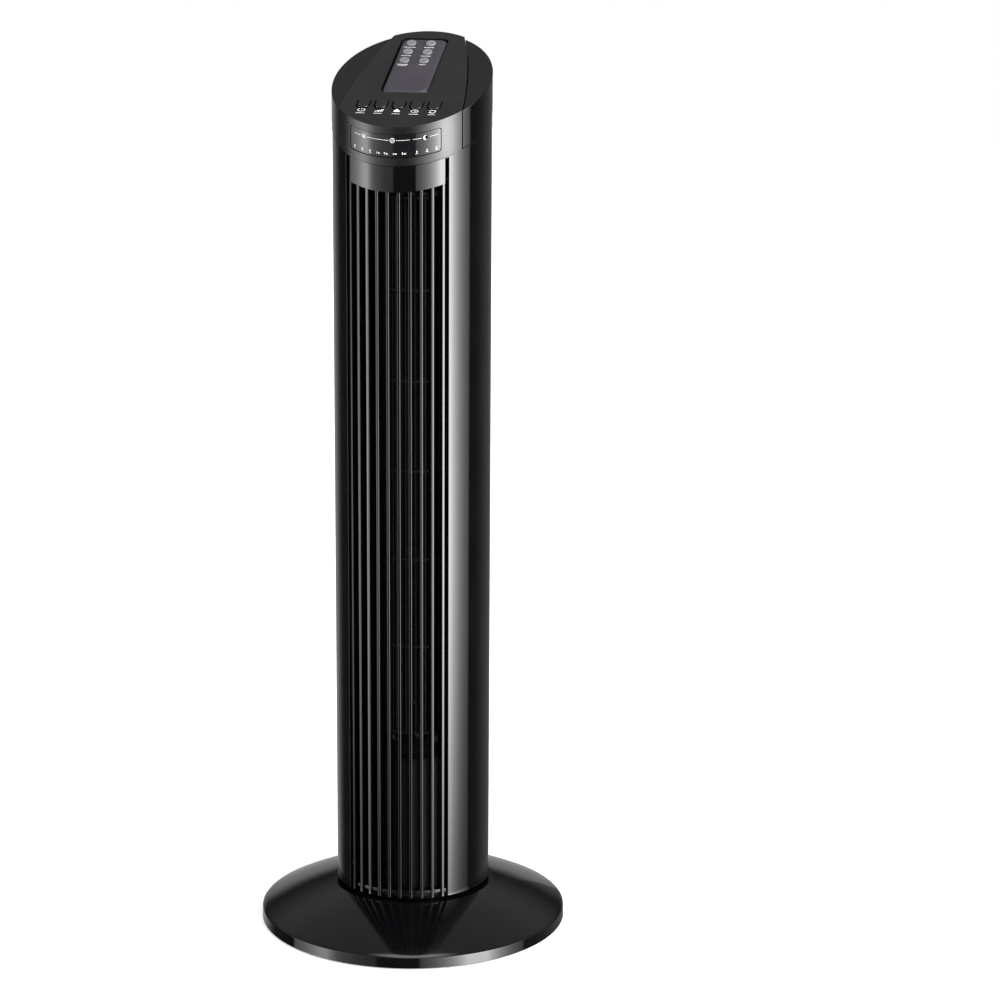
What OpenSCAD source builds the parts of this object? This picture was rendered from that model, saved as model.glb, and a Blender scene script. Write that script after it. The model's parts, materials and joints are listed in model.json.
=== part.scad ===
// Tower fan: a slatted round column with an oblique head turns on a round weighted base.
// Millimetres. +Z is up, the front faces -Y, and the origin is the middle of the base on the floor.

/* [Overall] */
// Height from the floor to the back of the head
total_height = 730; // [720:1:740]
// Outside diameter of the column
column_diameter = 126.4; // [126:0.2:128]
// Height of the column's lower edge
column_bottom = 36.5; // [36:0.5:38]
// Wall of the column shells
shell_wall = 2.2; // [2:0.1:2.4]

/* [Base] */
// Outside diameter of the base
base_diameter = 252.8; // [250:0.4:270]
// Height of the rim band's upper edge
rim_height = 11; // [10.5:0.5:12]
// Radius of the domed top
dome_radius = 270; // [260:10:320]
// Number of feet, and of screws between them
foot_count = 5; // [4:1:6]

/* [Front grille] */
// Number of upright slats
slat_count = 10; // [8:1:10]
// Angle from one slat to the next
slat_pitch = 8.18; // [7.6:0.01:8.2]
// Width of a slat
slat_width = 2.4; // [2:0.1:3]
// Depth of a slat towards the blower
slat_depth = 9; // [7:0.5:9.5]
// Angle from the front to the side edges of the air outlet
outlet_angle = 40.8; // [40.4:0.1:41.6]

/* [Head] */
// Slope of the head's top face
head_slope = 26.6; // [25:0.1:28]
// Drop from the top face to the seam between head and column
seam_drop = 30.4; // [29:0.2:31]
// Drop from the top face to the upper ends of the slots
slot_drop = 50.9; // [49:0.1:53]
// Angle from the front to where the panel's side seam starts
seam_front_angle = 52; // [50:1:56]
// Angle from the back to where the panel's side seam ends
seam_back_angle = 28; // [26:1:30]

/* [Controls] */
// Sideways place of the buttons and the pocket
controls_x = -2; // [-2:0.5:0]
// Distance from one button to the next
button_pitch = 14.2; // [13.5:0.1:15]
// Width of a button
button_width = 9.4; // [8:0.1:10]
// Width of the remote control's pocket
pocket_width = 39.1; // [38:0.1:40]
// Length of the pocket along the slope
pocket_length = 81; // [80:0.5:82]
// Depth of the pocket
pocket_depth = 8.4; // [8.2:0.1:9]

/* [Blower] */
// Outside diameter of the blower wheel
wheel_diameter = 72; // [68:1:74]
// Number of blades
blade_count = 28; // [20:1:32]
// Height of the wheel's lower end
wheel_bottom = 166; // [164:1:170]
// Length of the wheel
wheel_length = 442; // [430:1:442]

/* [Hidden] */

$fn = 96;
cut = 1; // overrun of a cutting shape past the face it cuts
reach = 1600; // side of the blocks that stand for half spaces
column_r = column_diameter / 2;
inner_r = column_r - shell_wall;
far_r = 120; // radius past every wall of the column
boss_x = column_r - 8.7; // screw bosses that join the two column shells
boss_heights = [100, 340, 580];
boss_r = 3.5;
pilot_r = 1.5; // hole that a screw cuts its thread in
gland_z = 75;
gland_r = 6;
slat_r = column_r - 0.15; // the slats' rounded fronts

// Swivel, from the nest in the base cover upwards
base_r = base_diameter / 2;
rim_top_r = base_r - 1.5;
rim_screw_r = base_r - 11.5;
foot_ring_r = base_r - 30;
post_screw_r = 24;
cover_bottom = 1.5;
plate_z = 2;
plate_h = 2;
weight_h = 8;
weight_hole_r = 40;
foot_r = 8;
foot_stem_r = 2.9;
cover_wall = 2.7;
nest_r = column_r + 2.8;
nest_z = column_bottom - 3.5;
swivel_z = column_bottom - 0.2;
post_r = 12;
post_flange_r = 30;
post_flange_h = 3;
post_neck_r = 10;
cable_r = 7.2;
slide_r = 49;
hub_r = 17;
hub_top = swivel_z + 19.7;
washer_z = hub_top + 0.3;
washer_h = 1.2;
gear_z = washer_z + washer_h;
gear_h = 6;
post_top = gear_z + gear_h + 6.5;
gear_module = 1;
fixed_teeth = 60;
pinion_teeth = 15;
gear_distance = gear_module * (fixed_teeth + pinion_teeth) / 2 + 0.1;
osc_motor_r = 18;
osc_shaft_r = 2.5;
lug_y = 21.5; // screw lugs each side of the oscillation motor
lug_z = swivel_z + 18.5;
lug_h = 1.5;
lug_r = 3.2;
running_gap = 0.05;

// Blower and its motor
wheel_x = 2;
wheel_y = 8;
wheel_r = wheel_diameter / 2;
wheel_top = wheel_bottom + wheel_length;
wheel_bays = 6;
motor_r = 30;
motor_shaft_r = 4;
motor_bolt_r = 22;
rotor_r = 18;
wheel_pin_r = 3;
bush_r = 6;
bush_h = 9;
hub_depth = 16;
motor_plate_z = 150;
core_z = 118;
core_h = 20;
bell_h = 12;
bulkhead_h = 3;
top_bulkhead_z = wheel_top + 4;
board_post_h = 10;
board_post_x = 32;
board_post_ys = [-18, 40];
duct_z = motor_plate_z + bulkhead_h;
duct_h = top_bulkhead_z - duct_z;
lead_x = -44; // motor lead, behind the scroll wall
lead_y = 27;

// Head: heights are measured down from the sloping top face
head_tan = tan(head_slope);
panel_r = column_r + 0.6;
head_r = column_r + 0.3;
top_mid = total_height - panel_r * head_tan;
head_wall = 2.5;
seam_gap = 0.6;
back_skirt = 14;
shoulder_drop = 1;
shoulder_slope = atan(head_tan - 1.2 / (2 * column_r));
window_top = 6;
window_bottom = 23.7;
window_angle = 34.5;
side_slot_top = seam_drop + 1.1;
seam_bow = 3;
seam_a = from_front(column_r, seam_front_angle);
seam_b = from_front(column_r, 180 - seam_back_angle);
seam_chord = seam_b - seam_a;
seam_length = norm(seam_chord);
seam_normal = [seam_chord[1], -seam_chord[0]] / seam_length;
seam_radius = (seam_length * seam_length / 4 + seam_bow * seam_bow) / (2 * seam_bow);
seam_centre = (seam_a + seam_b) / 2 - seam_normal * (seam_radius - seam_bow);

// Controls, in the top face's own axes: x across, y up the slope, z out of the face
button_bottom = -44.4;
button_hinge = -33.6;
button_post_y = -40;
button_thick = 2.2;
groove = 0.7;
pocket_y = 19.3;
pocket_corner = 5;
remote_gap = 0.9;
remote_w = pocket_width - 2 * remote_gap;
remote_l = pocket_length - 2 * remote_gap;
remote_top_z = -0.2;
remote_lid = 1.8;
remote_floor = -7.8;
remote_wall = 1.3;
key_r = 4.1;
key_pitch_x = 16;
key_pitch_y = 13;
key_x = -2.4;
key_first_y = 52.6;
key_flange_r = key_r + 0.7;
board_h = 1.6;
board_z = -12; // upper face of the control board
panel_post = [38, -26.5];
cell_r = 10;
cell_y = pocket_y - 27;
tray_l = 26;

// Point at radius r and angle a from the front, positive towards +X
function from_front(r, a) = [r * sin(a), -r * cos(a)];
// Involute angle in degrees at radius r of a gear with base circle base
function involute(base, r) = r <= base ? 0
  : tan(acos(base / r)) * 180 / PI - acos(base / r);
// Where the nth button stands across the panel
function button_x(n) = controls_x + (n - 2) * button_pitch;
// Point of the scroll wall at turn t, from 0 at the wheel to 1 at the outlet, moved out by extra
function scroll_point(t, extra) =
  (wheel_r + 2.5 + 18 * t + extra) * [cos(118 + 114 * t), sin(118 + 114 * t)];

// ---------- shared shapes ----------

module below(drop) {
  translate([0, 0, top_mid - drop]) rotate([head_slope, 0, 0])
    translate([-reach / 2, -reach / 2, -reach]) cube(reach);
}

module above(drop) {
  translate([0, 0, top_mid - drop]) rotate([head_slope, 0, 0])
    translate([-reach / 2, -reach / 2, 0]) cube(reach);
}

module below_shoulder(drop) {
  translate([0, 0, top_mid - shoulder_drop - drop]) rotate([shoulder_slope, 0, 0])
    translate([-reach / 2, -reach / 2, -reach]) cube(reach);
}

module on_top() {
  translate([0, 0, top_mid]) rotate([head_slope, 0, 0]) children();
}

module ring(r_out, r_in, h) {
  difference() {
    cylinder(h = h, r = r_out);
    translate([0, 0, -cut]) cylinder(h = h + 2 * cut, r = r_in);
  }
}

module ring_2d(r_out, r_in) {
  difference() {
    circle(r = r_out);
    circle(r = r_in);
  }
}

// Wedge between angles a and b from the front, out to radius r
module wedge_2d(a, b, r) {
  polygon(concat([[0, 0]], [for (i = [0 : 6]) from_front(r, a + (b - a) * i / 6)]));
}

module rounded_2d(w, l, r) {
  square([w - 2 * r, l], center = true);
  square([w, l - 2 * r], center = true);
  for (x = [-1, 1], y = [-1, 1]) translate([x * (w / 2 - r), y * (l / 2 - r)]) circle(r = r);
}

// Screw with its head's underside at z = 0 and its shank down to -length
module screw(length, r, head_r, head_h) {
  difference() {
    union() {
      translate([0, 0, -length]) cylinder(h = length, r = r);
      cylinder(h = head_h, r = head_r);
    }
    for (a = [0, 90]) rotate([0, 0, a])
      translate([-head_r * 0.6, -0.4, head_h - 1]) cube([head_r * 1.2, 0.8, 2]);
  }
}

module around(count, r, start = 0) {
  for (i = [0 : count - 1]) rotate([0, 0, start + i * 360 / count]) translate([0, -r, 0]) children();
}

// Spur gear outline with involute flanks and a little backlash
module gear_2d(teeth, addendum) {
  pitch_r = gear_module * teeth / 2;
  base_circle = pitch_r * cos(20);
  radii = [pitch_r - 1.25 * gear_module, max(base_circle, pitch_r - 0.5), pitch_r + 0.3,
    pitch_r + addendum * gear_module];
  half = 90 / teeth * 0.9;
  angle = [for (r = radii) half + involute(base_circle, pitch_r) - involute(base_circle, r)];
  function corner(a, k, s) = radii[k] * [cos(a + s * angle[k]), sin(a + s * angle[k])];
  polygon([for (i = [0 : teeth - 1]) each concat(
    [for (k = [0 : 3]) corner(i * 360 / teeth, k, -1)],
    [for (k = [3 : -1 : 0]) corner(i * 360 / teeth, k, 1)])]);
}

// Plan of the control panel between its two bowed side seams
module panel_plan(grow) {
  intersection() {
    translate(seam_centre) circle(r = seam_radius + grow, $fn = 720);
    mirror([1, 0]) translate(seam_centre) circle(r = seam_radius + grow, $fn = 720);
  }
}

// ---------- base ----------

module dome_2d(inset) {
  centre_z = rim_height - sqrt(dome_radius * dome_radius - rim_top_r * rim_top_r);
  intersection() {
    translate([0, centre_z]) circle(r = dome_radius - inset, $fn = 360);
    polygon([[0, cover_bottom - cut], [base_r - inset, cover_bottom - cut],
      [base_r - inset, cover_bottom], [base_r - 0.4 - inset, rim_height - 1],
      [rim_top_r - inset, rim_height], [rim_top_r - inset, 80], [0, 80]]);
  }
}

module base_cover() {
  color("#1b1b1d") difference() {
    union() {
      rotate_extrude() difference() {
        dome_2d(0);
        translate([-cut, -cut]) square([2 * base_r, cover_bottom + cut]);
        translate([-cut, nest_z]) square([nest_r + cut, 60]);
        intersection() {
          dome_2d(cover_wall);
          translate([-cut, -cut]) square([2 * base_r, nest_z - cover_wall + cut]);
        }
      }
      intersection() {
        around(foot_count, rim_screw_r, 180 / foot_count)
          translate([0, 0, 4]) cylinder(h = 14, r = 4.2);
        rotate_extrude() dome_2d(1);
      }
    }
    around(foot_count, rim_screw_r, 180 / foot_count) translate([0, 0, 3]) cylinder(h = 8, r = pilot_r);
    cylinder(h = 80, r = cable_r);
    around(4, post_screw_r) cylinder(h = 80, r = 2.1);
  }
}

module base_plate() {
  color("#2a2a2c") difference() {
    translate([0, 0, plate_z]) cylinder(h = plate_h, r = base_r - cover_wall - 0.6);
    around(foot_count, rim_screw_r, 180 / foot_count) cylinder(h = 8, r = 1.8);
    around(foot_count, foot_ring_r) cylinder(h = 8, r = foot_stem_r + 0.1);
    around(4, post_screw_r) cylinder(h = 8, r = 4);
  }
}

module base_weight() {
  color("#6d6e70") translate([0, 0, plate_z + plate_h]) ring(base_r - 38, weight_hole_r, weight_h);
}

module base_feet() {
  color("#101010") around(foot_count, foot_ring_r) {
    cylinder(h = plate_z, r = foot_r);
    cylinder(h = 5.5, r = foot_stem_r);
    translate([0, 0, plate_z + plate_h]) cylinder(h = 1.5, r = foot_stem_r + 0.7);
  }
}

module base_screws() {
  color("#9a9da1") around(foot_count, rim_screw_r, 180 / foot_count)
    translate([0, 0, plate_z]) rotate([180, 0, 0]) screw(7.5, pilot_r, 3.2, 1.4);
}

module pivot_post() {
  color("#e8e6df") difference() {
    union() {
      translate([0, 0, nest_z]) cylinder(h = post_flange_h, r = post_flange_r);
      translate([0, 0, nest_z]) cylinder(h = washer_z - nest_z, r = post_r);
      translate([0, 0, nest_z]) cylinder(h = post_top - nest_z, r = post_neck_r);
    }
    translate([0, 0, nest_z - cut]) cylinder(h = 60, r = cable_r);
    around(4, post_screw_r) translate([0, 0, nest_z - cut]) cylinder(h = 3.2, r = pilot_r);
  }
}

module post_screws() {
  color("#9a9da1") around(4, post_screw_r)
    translate([0, 0, nest_z - cover_wall]) rotate([180, 0, 0]) screw(4.8, pilot_r, 3.4, 1.8);
}

module slide_ring() {
  color("#d9d7cf") translate([0, 0, nest_z]) ring(slide_r, slide_r - 7, swivel_z - 0.1 - nest_z);
}

module thrust_washer() {
  color("#b9bcc0") translate([0, 0, washer_z]) ring(19, post_neck_r, washer_h);
}

module fixed_gear() {
  color("#e9e7e0") translate([0, 0, gear_z]) difference() {
    linear_extrude(gear_h) gear_2d(fixed_teeth, 0.9);
    translate([0, 0, -cut]) cylinder(h = gear_h + 2 * cut, r = post_neck_r);
    around(6, 20) translate([0, 0, -cut]) cylinder(h = gear_h + 2 * cut, r = 4.5);
  }
}

module post_nut() {
  color("#b9bcc0") translate([0, 0, gear_z + gear_h]) difference() {
    cylinder(h = 5, r = 16, $fn = 6);
    translate([0, 0, -cut]) cylinder(h = 8, r = post_neck_r);
  }
}

// ---------- swivel and oscillation drive in the column ----------

module at_osc_motor() {
  translate([gear_distance, 0, 0]) children();
}

module at_lugs(z) {
  for (s = [-1, 1]) translate([gear_distance, s * lug_y, z]) children();
}

module swivel_base() {
  color("#232325") difference() {
    union() {
      bulkhead(swivel_z, 3);
      translate([0, 0, swivel_z]) cylinder(h = hub_top - swivel_z, r = hub_r);
      translate([0, 0, swivel_z]) intersection() {
        ring(inner_r - 0.3, inner_r - 2.5, 14);
        translate([-80, 0, 0]) cube([160, 80, 20]);
      }
      at_lugs(swivel_z) cylinder(h = lug_z - swivel_z, r = lug_r);
      for (a = [0, 90, 180]) rotate([0, 0, a]) translate([-1.2, hub_r - 1, swivel_z])
        cube([2.4, 35, 9]);
    }
    translate([0, 0, swivel_z - cut]) cylinder(h = 40, r = post_r + running_gap);
    translate([0, 0, swivel_z - cut]) cylinder(h = cut + 0.4, r = post_flange_r + 1);
    at_lugs(swivel_z + 8) cylinder(h = 20, r = 1.3);
  }
}

module osc_motor() {
  color("#c9ccd0") difference() {
    union() {
      at_osc_motor() translate([0, 0, swivel_z + 6]) cylinder(h = 14, r = osc_motor_r);
      hull() at_lugs(lug_z) cylinder(h = lug_h, r = lug_r, $fn = 32);
      at_osc_motor() translate([0, 0, lug_z]) cylinder(h = gear_z - lug_z + gear_h, r = osc_shaft_r);
    }
    at_lugs(lug_z - cut) cylinder(h = 5, r = 1.6);
  }
}

module osc_motor_screws() {
  color("#9a9da1") at_lugs(lug_z + lug_h) screw(8, 1.3, 2.8, 1.6);
}

module osc_pinion() {
  color("#f0eee6") at_osc_motor() translate([0, 0, gear_z + 0.3]) difference() {
    linear_extrude(gear_h - 0.3) gear_2d(pinion_teeth, 0.85);
    translate([0, 0, -cut]) cylinder(h = gear_h + 3, r = osc_shaft_r + running_gap);
  }
}

// ---------- column shells ----------

module at_bosses() {
  for (s = [-1, 1], z = boss_heights) translate([s * boss_x, 0, z]) children();
}

module half_plane(side) {
  translate([-150, side > 0 ? 0 : -150]) square([300, 150]);
}

module slats_2d() {
  for (k = [0 : slat_count - 1])
    rotate((k - (slat_count - 1) / 2) * slat_pitch) {
      translate([-slat_width / 2, -slat_r + slat_width / 2])
        square([slat_width, slat_depth - slat_width / 2]);
      translate([0, -slat_r + slat_width / 2]) circle(r = slat_width / 2, $fn = 32);
    }
}

module outlet_2d() {
  wedge_2d(-outlet_angle, outlet_angle, far_r);
}

module front_shell_2d() {
  intersection() {
    ring_2d(column_r, inner_r);
    half_plane(-1);
  }
}

// The two outermost slots, which run up past the others
module side_slots_2d() {
  inner = (slat_count - 1) / 2 * slat_pitch + slat_width / column_r * 90 / PI;
  for (s = [-1, 1]) wedge_2d(s * inner, s * outlet_angle, far_r);
}

module front_grille() {
  color("#151516") difference() {
    union() {
      intersection() {
        translate([0, 0, column_bottom]) linear_extrude(total_height) {
          difference() {
            front_shell_2d();
            outlet_2d();
          }
          slats_2d();
        }
        below(slot_drop);
      }
      intersection() {
        translate([0, 0, column_bottom]) linear_extrude(total_height) difference() {
          front_shell_2d();
          side_slots_2d();
        }
        above(slot_drop);
        below(side_slot_top);
      }
      intersection() {
        translate([0, 0, column_bottom]) linear_extrude(total_height) front_shell_2d();
        above(side_slot_top);
        below(seam_drop + seam_gap / 2);
      }
      translate([0, 0, column_bottom + 3.3]) linear_extrude(2.5) intersection() {
        ring_2d(inner_r, column_r - slat_depth - 0.5);
        wedge_2d(-46, 46, far_r);
      }
      intersection() {
        at_bosses() rotate([90, 0, 0]) cylinder(h = 26, r = boss_r);
        cylinder(h = total_height, r = column_r - 0.5);
      }
    }
    at_bosses() translate([0, cut, 0]) rotate([90, 0, 0]) cylinder(h = 18, r = pilot_r);
  }
}

module intake_2d() {
  count = 11;
  pitch = 9;
  for (k = [0 : count - 1]) {
    a = 180 + (k - (count - 1) / 2) * pitch;
    wedge_2d(a - 2.9, a + 2.9, far_r);
  }
}

module rear_housing() {
  bays = 5;
  bay_h = 86;
  color("#151516") difference() {
    union() {
      intersection() {
        translate([0, 0, column_bottom]) linear_extrude(total_height) intersection() {
          ring_2d(column_r, inner_r);
          half_plane(1);
        }
        below(seam_drop + seam_gap / 2);
      }
      intersection() {
        at_bosses() translate([0, 40, 0]) rotate([90, 0, 0]) cylinder(h = 40, r = boss_r);
        cylinder(h = total_height, r = column_r - 0.5);
      }
    }
    for (i = [0 : bays - 1]) translate([0, 0, 150 + i * (bay_h + 8)]) linear_extrude(bay_h) intake_2d();
    at_bosses() translate([0, 60, 0]) rotate([90, 0, 0]) {
      cylinder(h = 70, r = 1.8);
      cylinder(h = 52, r = 2.7);
    }
    translate([0, 80, gland_z]) rotate([90, 0, 0]) cylinder(h = 30, r = gland_r);
  }
}

module housing_screws() {
  color("#9a9da1") at_bosses() translate([0, 8, 0]) rotate([-90, 0, 0]) screw(22, pilot_r, 2.6, 2);
}

module cord_gland() {
  color("#101010") translate([0, column_r, gland_z]) rotate([-90, 0, 0]) difference() {
    union() {
      translate([0, 0, -4]) cylinder(h = 4.3, r = gland_r - 0.1);
      translate([0, 0, 0.2]) cylinder(h = 1.8, r = gland_r + 2);
      translate([0, 0, -5.2]) cylinder(h = 1.8, r = 7.4);
    }
    translate([0, 0, -10]) cylinder(h = 20, r = 3.6);
  }
}

// ---------- blower motor ----------

module at_wheel() {
  translate([wheel_x, wheel_y, 0]) children();
}

// Disc across the column that leaves room for the shells' screw bosses
module bulkhead(z, h) {
  difference() {
    translate([0, 0, z]) cylinder(h = h, r = inner_r - 0.3);
    for (s = [-1, 1])
      translate([s * 61 - 10, -30, z - cut]) cube([20, 75, h + 2 * cut]);
    difference() {
      translate([0, 0, z - cut]) linear_extrude(h + 2 * cut) wedge_2d(-48, 48, far_r);
      translate([0, 0, z - 2 * cut]) cylinder(h = h + 4 * cut, r = column_r - slat_depth - 1.2);
    }
  }
}

module lower_bulkhead() {
  color("#232325") difference() {
    bulkhead(motor_plate_z, bulkhead_h);
    at_wheel() translate([0, 0, motor_plate_z - cut]) cylinder(h = 9, r = 9);
    at_wheel() around(3, motor_bolt_r, 60) translate([0, 0, motor_plate_z - cut]) cylinder(h = 9, r = 3.5);
    translate([lead_x, lead_y, motor_plate_z - cut]) cylinder(h = 6, r = 3.5);
  }
}

// Curved screen behind the slats in front of the motor
module motor_shroud() {
  shroud_r = column_r - slat_depth - 0.8;
  color("#121213") translate([0, 0, swivel_z + 3]) linear_extrude(motor_plate_z - swivel_z - 3)
    intersection() {
      ring_2d(shroud_r, shroud_r - 1.6);
      wedge_2d(-47, 47, far_r);
    }
}

module motor_bell(z, up) {
  difference() {
    at_wheel() translate([0, 0, z]) union() {
      difference() {
        cylinder(h = bell_h, r = motor_r);
        translate([0, 0, up ? -cut : 2.5]) cylinder(h = bell_h - 2.5 + cut, r = motor_r - 2.2);
      }
      translate([0, 0, up ? 3 : 0]) cylinder(h = bell_h - 3, r = 8);
    }
    at_wheel() translate([0, 0, z - cut]) cylinder(h = bell_h + 2 * cut, r = motor_shaft_r + running_gap);
    at_wheel() around(3, motor_bolt_r, 60)
      translate([0, 0, z - cut]) cylinder(h = bell_h + 2 * cut, r = 1.7);
    at_wheel() around(6, 16) translate([0, 0, z - cut]) cylinder(h = bell_h + 2 * cut, r = 3);
  }
}

module motor_bell_bottom() {
  color("#aeb1b5") motor_bell(core_z - bell_h, false);
}

module motor_bell_top() {
  color("#aeb1b5") motor_bell(core_z + core_h, true);
}

module motor_stator() {
  color("#7b7f85") at_wheel() translate([0, 0, core_z]) ring(motor_r + 1, rotor_r + 0.5, core_h);
}

module motor_windings() {
  color("#b8672b") at_wheel() for (z = [core_z - 8, core_z + core_h])
    translate([0, 0, z]) rotate_extrude() translate([23.5, 4]) union() {
      square([6, 8], center = true);
      translate([3, 0]) circle(r = 0.9, $fn = 24);
    }
}

module motor_mounts() {
  color("#101010") at_wheel() around(3, motor_bolt_r, 60) translate([0, 0, motor_plate_z]) {
    ring(3.5, 1.6, bulkhead_h);
    translate([0, 0, bulkhead_h]) ring(5.5, 1.6, 1.5);
  }
}

module motor_screws() {
  color("#9a9da1") at_wheel() around(3, motor_bolt_r, 60)
    translate([0, 0, duct_z + 1.5]) screw(6.8, pilot_r, 3.2, 2);
}

module motor_shaft() {
  color("#d3d6d9") at_wheel() translate([0, 0, core_z - bell_h - 4])
    cylinder(h = wheel_bottom + hub_depth - (core_z - bell_h - 4), r = motor_shaft_r);
}

module motor_rotor() {
  color("#8d9196") at_wheel() translate([0, 0, core_z - 2]) ring(rotor_r, motor_shaft_r, core_h + 4);
}

// ---------- blower wheel and duct ----------

module blade_2d() {
  intersection() {
    ring_2d(wheel_r, wheel_r - 9);
    translate([wheel_r - 6, -9]) ring_2d(10.6, 9.5);
    translate([0, -20]) square([60, 24]);
  }
}

module blower_wheel() {
  bay = (wheel_length - 2) / wheel_bays;
  color("#1d1d1f") at_wheel() translate([0, 0, wheel_bottom]) difference() {
    union() {
      linear_extrude(wheel_length)
        for (i = [0 : blade_count - 1]) rotate(i * 360 / blade_count) blade_2d();
      for (i = [1 : wheel_bays - 1]) translate([0, 0, i * bay]) ring(wheel_r - 0.2, wheel_r - 11, 2);
      cylinder(h = 2, r = wheel_r - 0.2);
      translate([0, 0, wheel_length - 2]) cylinder(h = 2, r = wheel_r - 0.2);
      cylinder(h = hub_depth, r = 9);
      translate([0, 0, wheel_length - 8]) cylinder(h = 8, r = 7);
    }
    translate([0, 0, -cut]) cylinder(h = hub_depth + cut, r = motor_shaft_r);
    translate([0, 0, wheel_length - 7]) cylinder(h = 12, r = wheel_pin_r);
  }
}

module wheel_pin() {
  color("#d3d6d9") at_wheel() translate([0, 0, wheel_top - 7])
    cylinder(h = 7 + top_bulkhead_z - wheel_top + bush_h, r = wheel_pin_r);
}

// Spiral wall from the wheel round to the left edge of the outlet
module duct_scroll() {
  steps = 16;
  color("#1a1a1c") at_wheel() translate([0, 0, duct_z]) linear_extrude(duct_h) polygon(concat(
    [for (i = [0 : steps]) scroll_point(i / steps, 0)],
    [for (i = [steps : -1 : 0]) scroll_point(i / steps, 1.8)]));
}

// Cut-off wall that curls round beside the wheel
module duct_tongue() {
  color("#1a1a1c") translate([0, 0, duct_z]) linear_extrude(duct_h) union() {
    polygon([[36, -36.5], [37.8, -36.5], [39.9, -12.7], [38.1, -12.7]]);
    difference() {
      translate([42.5, -13]) circle(r = 4.4);
      translate([42.5, -13]) circle(r = 2.6);
      translate([37, -23]) square([11, 10]);
    }
    polygon([[45.1, -12.7], [46.9, -12.7], [50.4, -21], [48.6, -21]]);
  }
}

module at_board_posts(z) {
  for (s = [-1, 1], y = board_post_ys) translate([s * board_post_x, y, z]) children();
}

module top_bulkhead() {
  color("#232325") difference() {
    union() {
      bulkhead(top_bulkhead_z, bulkhead_h);
      at_wheel() translate([0, 0, top_bulkhead_z]) cylinder(h = bush_h, r = 10);
      at_board_posts(top_bulkhead_z) cylinder(h = board_post_h, r = 3.2);
    }
    at_wheel() translate([0, 0, top_bulkhead_z - cut]) cylinder(h = bush_h + 3, r = bush_r);
    at_board_posts(top_bulkhead_z + 4) cylinder(h = board_post_h, r = 1.2);
    translate([lead_x, lead_y, top_bulkhead_z - cut]) cylinder(h = 6, r = 3.5);
  }
}

module upper_bush() {
  color("#b08d57") at_wheel() translate([0, 0, top_bulkhead_z])
    ring(bush_r, wheel_pin_r + running_gap, bush_h);
}

// ---------- head ----------

module head_shell() {
  color("#1a1a1c") difference() {
    union() {
      difference() {
        intersection() {
          cylinder(h = total_height + 20, r = head_r);
          below_shoulder(0);
          above(seam_drop - seam_gap / 2);
        }
        intersection() {
          translate([0, 0, -cut]) cylinder(h = total_height + 20, r = head_r - head_wall);
          below_shoulder(head_wall);
        }
        intersection() {
          linear_extrude(total_height + 20) panel_plan(seam_gap / 2);
          union() {
            above(back_skirt + seam_gap);
            translate([-100, -100, 0]) cube([200, 100, total_height + 50]);
          }
        }
      }
      difference() {
        intersection() {
          union() {
            cylinder(h = total_height, r = inner_r - 0.3);
            intersection() {
              cylinder(h = total_height, r = head_r - 1);
              above(seam_drop - seam_gap / 2);
            }
          }
          below(seam_drop - 4);
          above(seam_drop + 6);
        }
        translate([0, 0, -cut]) cylinder(h = total_height + 20, r = inner_r - 2.3);
        linear_extrude(total_height + 20) wedge_2d(-56, 56, far_r);
      }
    }
  }
}

module button_cut() {
  for (n = [0 : 4]) on_top() translate([button_x(n), 0, -8]) linear_extrude(20) button_2d(groove, 0.35);
}

module button_2d(side, end) {
  r = button_width / 2;
  translate([-r - side, button_bottom + r])
    square([2 * (r + side), button_hinge - button_bottom - r + end]);
  translate([0, button_bottom + r]) circle(r = r + side);
}

module window_cut(grow) {
  intersection() {
    linear_extrude(total_height) wedge_2d(-window_angle - grow, window_angle + grow, far_r);
    above(window_bottom + grow);
    below(window_top - grow);
  }
}

module pocket_block(grow, low, high) {
  on_top() translate([controls_x, pocket_y, low]) linear_extrude(high - low)
    rounded_2d(pocket_width + 2 * grow, pocket_length + 2 * grow, pocket_corner + grow);
}

module at_panel_posts(z) {
  on_top() for (s = [-1, 1]) translate([s * panel_post[0], panel_post[1], z]) children();
}

module control_panel() {
  color("#202022") difference() {
    union() {
      difference() {
        intersection() {
          linear_extrude(total_height + 20) intersection() {
            panel_plan(-seam_gap / 2);
            circle(r = panel_r);
          }
          below(0);
          above(seam_drop - seam_gap / 2);
        }
        intersection() {
          cylinder(h = total_height + 20, r = panel_r - head_wall);
          below(head_wall);
        }
        intersection() {
          translate([-100, 0, 0]) cube([200, 100, total_height + 50]);
          below(back_skirt);
        }
      }
      pocket_block(2, -pocket_depth - 2, -0.5);
      at_panel_posts(board_z) cylinder(h = 11, r = 3);
    }
    pocket_block(0, -pocket_depth, 10);
    button_cut();
    window_cut(0.15);
    at_panel_posts(board_z - cut) cylinder(h = 9, r = 1.2);
  }
}

module display_lens() {
  color("#0c0c0e") union() {
    intersection() {
      ring(panel_r - 0.15, panel_r - head_wall - 0.1, total_height);
      window_cut(0);
    }
    intersection() {
      ring(panel_r - head_wall - 0.1, panel_r - head_wall - 1.3, total_height);
      window_cut(1.4);
    }
  }
}

module display_board() {
  z = top_mid - 48 * head_tan - 24.5;
  color("#1f5a3a") translate([0, -47.2, 0]) {
    translate([-34, 0, z]) cube([68, board_h, 20]);
    for (k = [0 : 9]) translate([-29.5 + k * 6.2, -1.2, z + 3]) cube([3.2, 1.3, 1.8]);
    translate([-2, board_h, z + 6]) cube([10, 5, 7]);
  }
}

module control_board() {
  color("#1f5a3a") difference() {
    on_top() translate([-42, -46, board_z - board_h]) cube([84, 22.5, board_h]);
    at_panel_posts(board_z - board_h - cut) cylinder(h = 4, r = 1.6);
  }
}

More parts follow.
